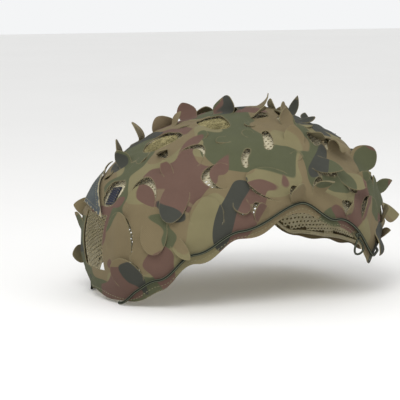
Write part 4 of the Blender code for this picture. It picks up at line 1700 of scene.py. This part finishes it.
@dataclass
class Trimmings:
    """What is sewn on: the tab, the webbing and the loop-pile patches."""

    seat: float = -4.3
    thickness: float = 0.9
    spacing: float = 2.2
    clearance: float = 1.2
    tab_rise: float = 3.1
    thread_rise: float = 0.5
    pile_thread_rise: float = 0.7
    loops_per_mm2: float = 1.15
    loop: float = 1.2
    yarn: float = 0.2

    def over_cloth(self, rise: float) -> Callable:
        """Heights that stand a little off the leaf cloth."""
        plain = ClothLie().plain
        return lambda plane: plain(plane) + rise

    def over_net(self, rise: float) -> Callable:
        """Heights that lie on the net."""
        return lambda plane: np.full(len(plane), self.seat + rise)

    def pile_growth(self) -> GrowthTree:
        """The tree that covers a patch's outer face in small upright loops."""
        density = self.loops_per_mm2 / MM**2
        sizes = {"Density": density, "Loop": self.loop * MM, "Yarn": self.yarn * MM}
        tree = GrowthTree("loop_pile", sizes)
        start = tree.start
        face = {2: tree.add("GeometryNodeInputMaterialIndex").outputs[0], 3: 0}
        kind = {"data_type": "INT", "operation": "EQUAL"}
        outer = tree.add("FunctionNodeCompare", face, **kind).outputs[0]
        inputs = {"Mesh": start["Geometry"], "Selection": outer, "Density": start["Density"]}
        spread = tree.add("GeometryNodeDistributePointsOnFaces", {**inputs, "Seed": 7}).outputs
        circles = []
        for sides, radius in ((6, "Loop"), (3, "Yarn")):
            inputs = {"Resolution": sides, "Radius": start[radius]}
            circles.append(tree.add("GeometryNodeCurvePrimitiveCircle", inputs).outputs[0])
        loop = tree.add("GeometryNodeCurveToMesh", dict(enumerate(circles))).outputs[0]
        inputs = {"Geometry": loop, "Rotation": (math.pi / 2.0, 0.0, 0.0)}
        upright = tree.add("GeometryNodeTransform", inputs).outputs[0]
        inputs = {"Points": spread[0], "Instance": upright, "Rotation": spread["Rotation"]}
        planted = tree.add("GeometryNodeInstanceOnPoints", inputs).outputs[0]
        inputs = {0: (-0.5, -0.5, 0.0), 1: (0.5, 0.5, 6.28), "Seed": 11}
        spin = tree.add("FunctionNodeRandomValue", inputs, data_type="FLOAT_VECTOR").outputs[0]
        inputs = {"Instances": planted, "Rotation": spin}
        tree.close(tree.add("GeometryNodeRotateInstances", inputs).outputs[0])
        return tree

    def small_sheet(
        self, name: str, outline: np.ndarray, height: Callable, finishes: list
    ) -> bpy.types.Object:
        """A trimming cut to an outline and laid at a height over the dome."""
        pattern = CutPattern(outline)
        pattern.add_base_points(DOME.ring_points(self.spacing), self.clearance)
        sheet = Sheet(name, self.thickness, finishes)
        return sheet.build(pattern, lambda plane: DOME.raised(plane, height(plane)))

    def tab(self) -> np.ndarray:
        """Makes the pointed tab and returns its line of stitches."""
        look = {"colour": "#44494B", "heather": "#535857"}
        slate = DyedCloth("slate_twill_cloth", **look, edge_share=0.8, bump=0.3).build()
        edge = DyedCloth("slate_cut_edge", colour="#8F8B78", heather="#A09A84").build()
        outline = outline_of(TAB_CORNERS, parts=18)
        finishes = [slate, slate, edge]
        height = self.over_cloth(self.tab_rise)
        tab = self.small_sheet("front_tab_cloth", outline, height, finishes)
        report(tab, ("front_tab",))
        return seam(outline, 0.3, self.over_cloth(self.tab_rise + self.thread_rise))

    def strap(self) -> np.ndarray:
        """Makes the webbing strip and returns its line of stitches."""
        weave = Webbing("woven_nylon_webbing", roughness=0.55, bump=0.5, depth=0.0004).build()
        outline = outline_of(STRAP_CORNERS, parts=10)
        height = self.over_net(0.0)
        strap = self.small_sheet("front_strap_webbing", outline, height, [weave] * 3)
        report(strap, ("front_strap",))
        return seam(outline, 0.2, self.over_net(self.thread_rise))

    def pile_patches(self) -> list[np.ndarray]:
        """Makes the loop-pile patches and returns their lines of stitches."""
        look = {"colour": "#6E6640", "heather": "#B5AA7C"}
        pile = DyedCloth("loop_pile_yarn", **look, sheen=0.1, bump=0.6).build()
        tree = self.pile_growth()
        rows = []
        for patch in PATCHES:
            outline = patch.outline()
            height = self.over_net(0.0)
            piece = self.small_sheet(patch.name + "_cloth", outline, height, [pile] * 3)
            report(piece, (patch.name,))
            loops = new_piece(patch.name + "_loops", piece.data.copy(), [])
            report(tree.run(loops, pile))
            rows.append(seam(outline, 0.07, self.over_net(self.pile_thread_rise)))
        return rows

    def build(self, thread: bpy.types.Material) -> None:
        """Makes all trimmings.

        Args:
            thread: Material of the sewing thread.
        """
        tab_row, strap_row = self.tab(), self.strap()
        rows = [*self.pile_patches(), tab_row, strap_row]
        sizes = {"pitch": 2.8, "stitch": 1.9, "thread": 0.5}
        stitches = StitchRow("trimming_stitches", thread, **sizes).build(rows)
        report(stitches)


@dataclass
class DrawCord:
    """The elastic cord along the lower edge, with its knot and loop."""

    radius: float = 1.3
    gap: float = 0.75
    cloth_half: float = 0.5
    above_hem: float = 3.6
    start: float = 13.0
    climb: float = 9.0
    knot_azimuth: float = 116.0
    knot_radius: float = 2.7
    knot_gap: float = 0.2
    knot_strand: float = 0.72
    loop_length: float = 15.0
    loop_width: float = 8.0
    loop_radius: float = 1.0
    loop_seat: float = 0.4
    loop_spread: float = 2.0
    loop_share: float = 0.04

    def wound(self) -> np.ndarray:
        """The knot's strand about its centre: side, down and outward."""
        turn = np.linspace(0.0, 2.0 * np.pi, 90)
        ball = self.knot_radius - self.radius * 0.62
        side, down = np.cos(2 * turn), np.sin(2 * turn) * 0.9
        strand = np.stack([side, down, np.sin(3 * turn) * 0.55], -1) * ball
        return strand * (0.8 + 0.2 * np.cos(3 * turn))[:, None]

    def hung(self) -> np.ndarray:
        """The loop's path under the knot: side and down."""
        ends = self.loop_share
        turn = np.linspace(ends, 1.0 - ends, 60) * 2.0 * np.pi
        share = (1.0 - np.cos(turn)) / 2.0
        side = np.sin(turn) * share * self.loop_width + self.loop_spread * np.sin(turn)
        return np.stack([side, share * self.loop_length], -1)

    def build(self) -> None:
        """Makes the cord, the knot and the loop."""
        braid = ElasticBraid("braided_elastic", roughness=0.7, bump=0.6, depth=0.0003).build()
        lie = ClothLie()
        rise = self.cloth_half + self.gap + self.radius
        plane = cord_plane(np.linspace(self.start, 360.0 - self.start, 420))
        path = DOME.into_frame(DOME.raised(plane, lie.plain(plane) + rise))
        cord = sweep("draw_cord_braid", path, self.radius * MM, 16, braid)
        report(cord, ("draw_cord",))

        tie = cord_plane(self.knot_azimuth + np.array([-1.0, 0.0, 1.0]))
        out = unit(np.cross(*DOME.tangents(tie)))[1]
        before, at_cord, after = DOME.raised(tie, lie.plain(tie) + rise)
        below = unit(np.cross(after - before, out))
        down = unit(np.cross(np.cross(out, [0.0, 0.0, -1.0]), out))
        side = np.cross(out, down)
        knot = at_cord + below * (self.radius + self.knot_gap + self.knot_radius) + out
        knot_path = DOME.into_frame(knot + self.wound() @ np.stack([side, down, out]))
        tied = sweep("cord_knot_braid", knot_path, self.radius * self.knot_strand * MM, 10, braid)
        report(tied, ("cord_knot",))

        first = knot + down * (self.knot_radius + self.loop_seat)
        loop_path = DOME.into_frame(first + self.hung() @ np.stack([side, down]))
        loop = sweep("cord_loop_braid", loop_path, self.loop_radius * MM, 12, braid)
        report(loop, ("cord_loop",))


@dataclass(frozen=True)
class Lamp:
    """One soft square light, in metres and watts."""

    name: str
    place: tuple[float, float, float]
    energy: float
    size: float


LAMPS = (
    Lamp("key", (0.95, -0.75, 1.25), 15.0, 0.9),
    Lamp("fill", (1.3, 0.9, 0.35), 3.0, 1.2),
)


@dataclass
class Studio:
    """Floor, lights and camera."""

    azimuth: float = 67.0
    elevation: float = 8.0
    distance: float = 1.6
    frame_width: float = 0.386
    aim: tuple[float, float, float] = (0.0, -0.043, -0.0815)
    sky: str = "#F4F5F6"
    floor_half: float = 6.0
    floor_gap: float = 0.0005

    def light(self, lamp: Lamp) -> None:
        """Adds a light that faces the cover."""
        data = bpy.data.lights.new(lamp.name, "AREA")
        data.energy = lamp.energy
        data.size = lamp.size
        holder = bpy.data.objects.new(lamp.name, data)
        bpy.context.scene.collection.objects.link(holder)
        holder.location = lamp.place
        towards = Vector(self.aim) - holder.location
        holder.rotation_euler = towards.to_track_quat("-Z", "Y").to_euler()

    def camera(self) -> bpy.types.Object:
        """Adds the camera at its angle round the cover."""
        turn, rise = math.radians(self.azimuth), math.radians(self.elevation)
        level = math.cos(rise)
        back = Vector((math.sin(turn) * level, -math.cos(turn) * level, math.sin(rise)))
        lens = bpy.data.cameras.new("camera")
        lens.sensor_width = 36.0
        lens.lens = lens.sensor_width * self.distance / self.frame_width
        camera = bpy.data.objects.new("camera", lens)
        bpy.context.scene.collection.objects.link(camera)
        camera.location = Vector(self.aim) + back * self.distance
        camera.rotation_euler = (-back).to_track_quat("-Z", "Y").to_euler()
        return camera

    def build(self) -> None:
        """Makes the studio."""
        scene = bpy.context.scene
        scene.view_settings.view_transform = "Standard"
        scene.camera = self.camera()
        world = bpy.data.worlds.new("studio")
        world.use_nodes = True
        sky = world.node_tree.nodes["Background"].inputs
        sky["Color"].default_value = linear(self.sky)
        sky["Strength"].default_value = 1.0
        scene.world = world
        for lamp in LAMPS:
            self.light(lamp)
        floor = bpy.data.meshes.new("floor")
        low = CAD_BOX[0].z - self.floor_gap
        half = self.floor_half
        corners = [(-half, -half, low), (half, -half, low), (half, half, low), (-half, half, low)]
        floor.from_pydata(corners, [], [(0, 1, 2, 3)])
        new_piece("floor", floor, [Plaster("matt_plaster", roughness=0.95).build()])


def main() -> None:
    """Builds the cover in order."""
    logging.basicConfig(level=logging.INFO, format="%(message)s")
    Studio().build()
    look = {"colour": "#6F6A4E", "heather": "#857F60"}
    thread = DyedCloth("sewing_thread", **look, sheen=0.2).build()
    NetCap().build()
    LeafCloth().build(thread)
    Trimmings().build(thread)
    DrawCord().build()


if __name__ == "__main__":
    main()
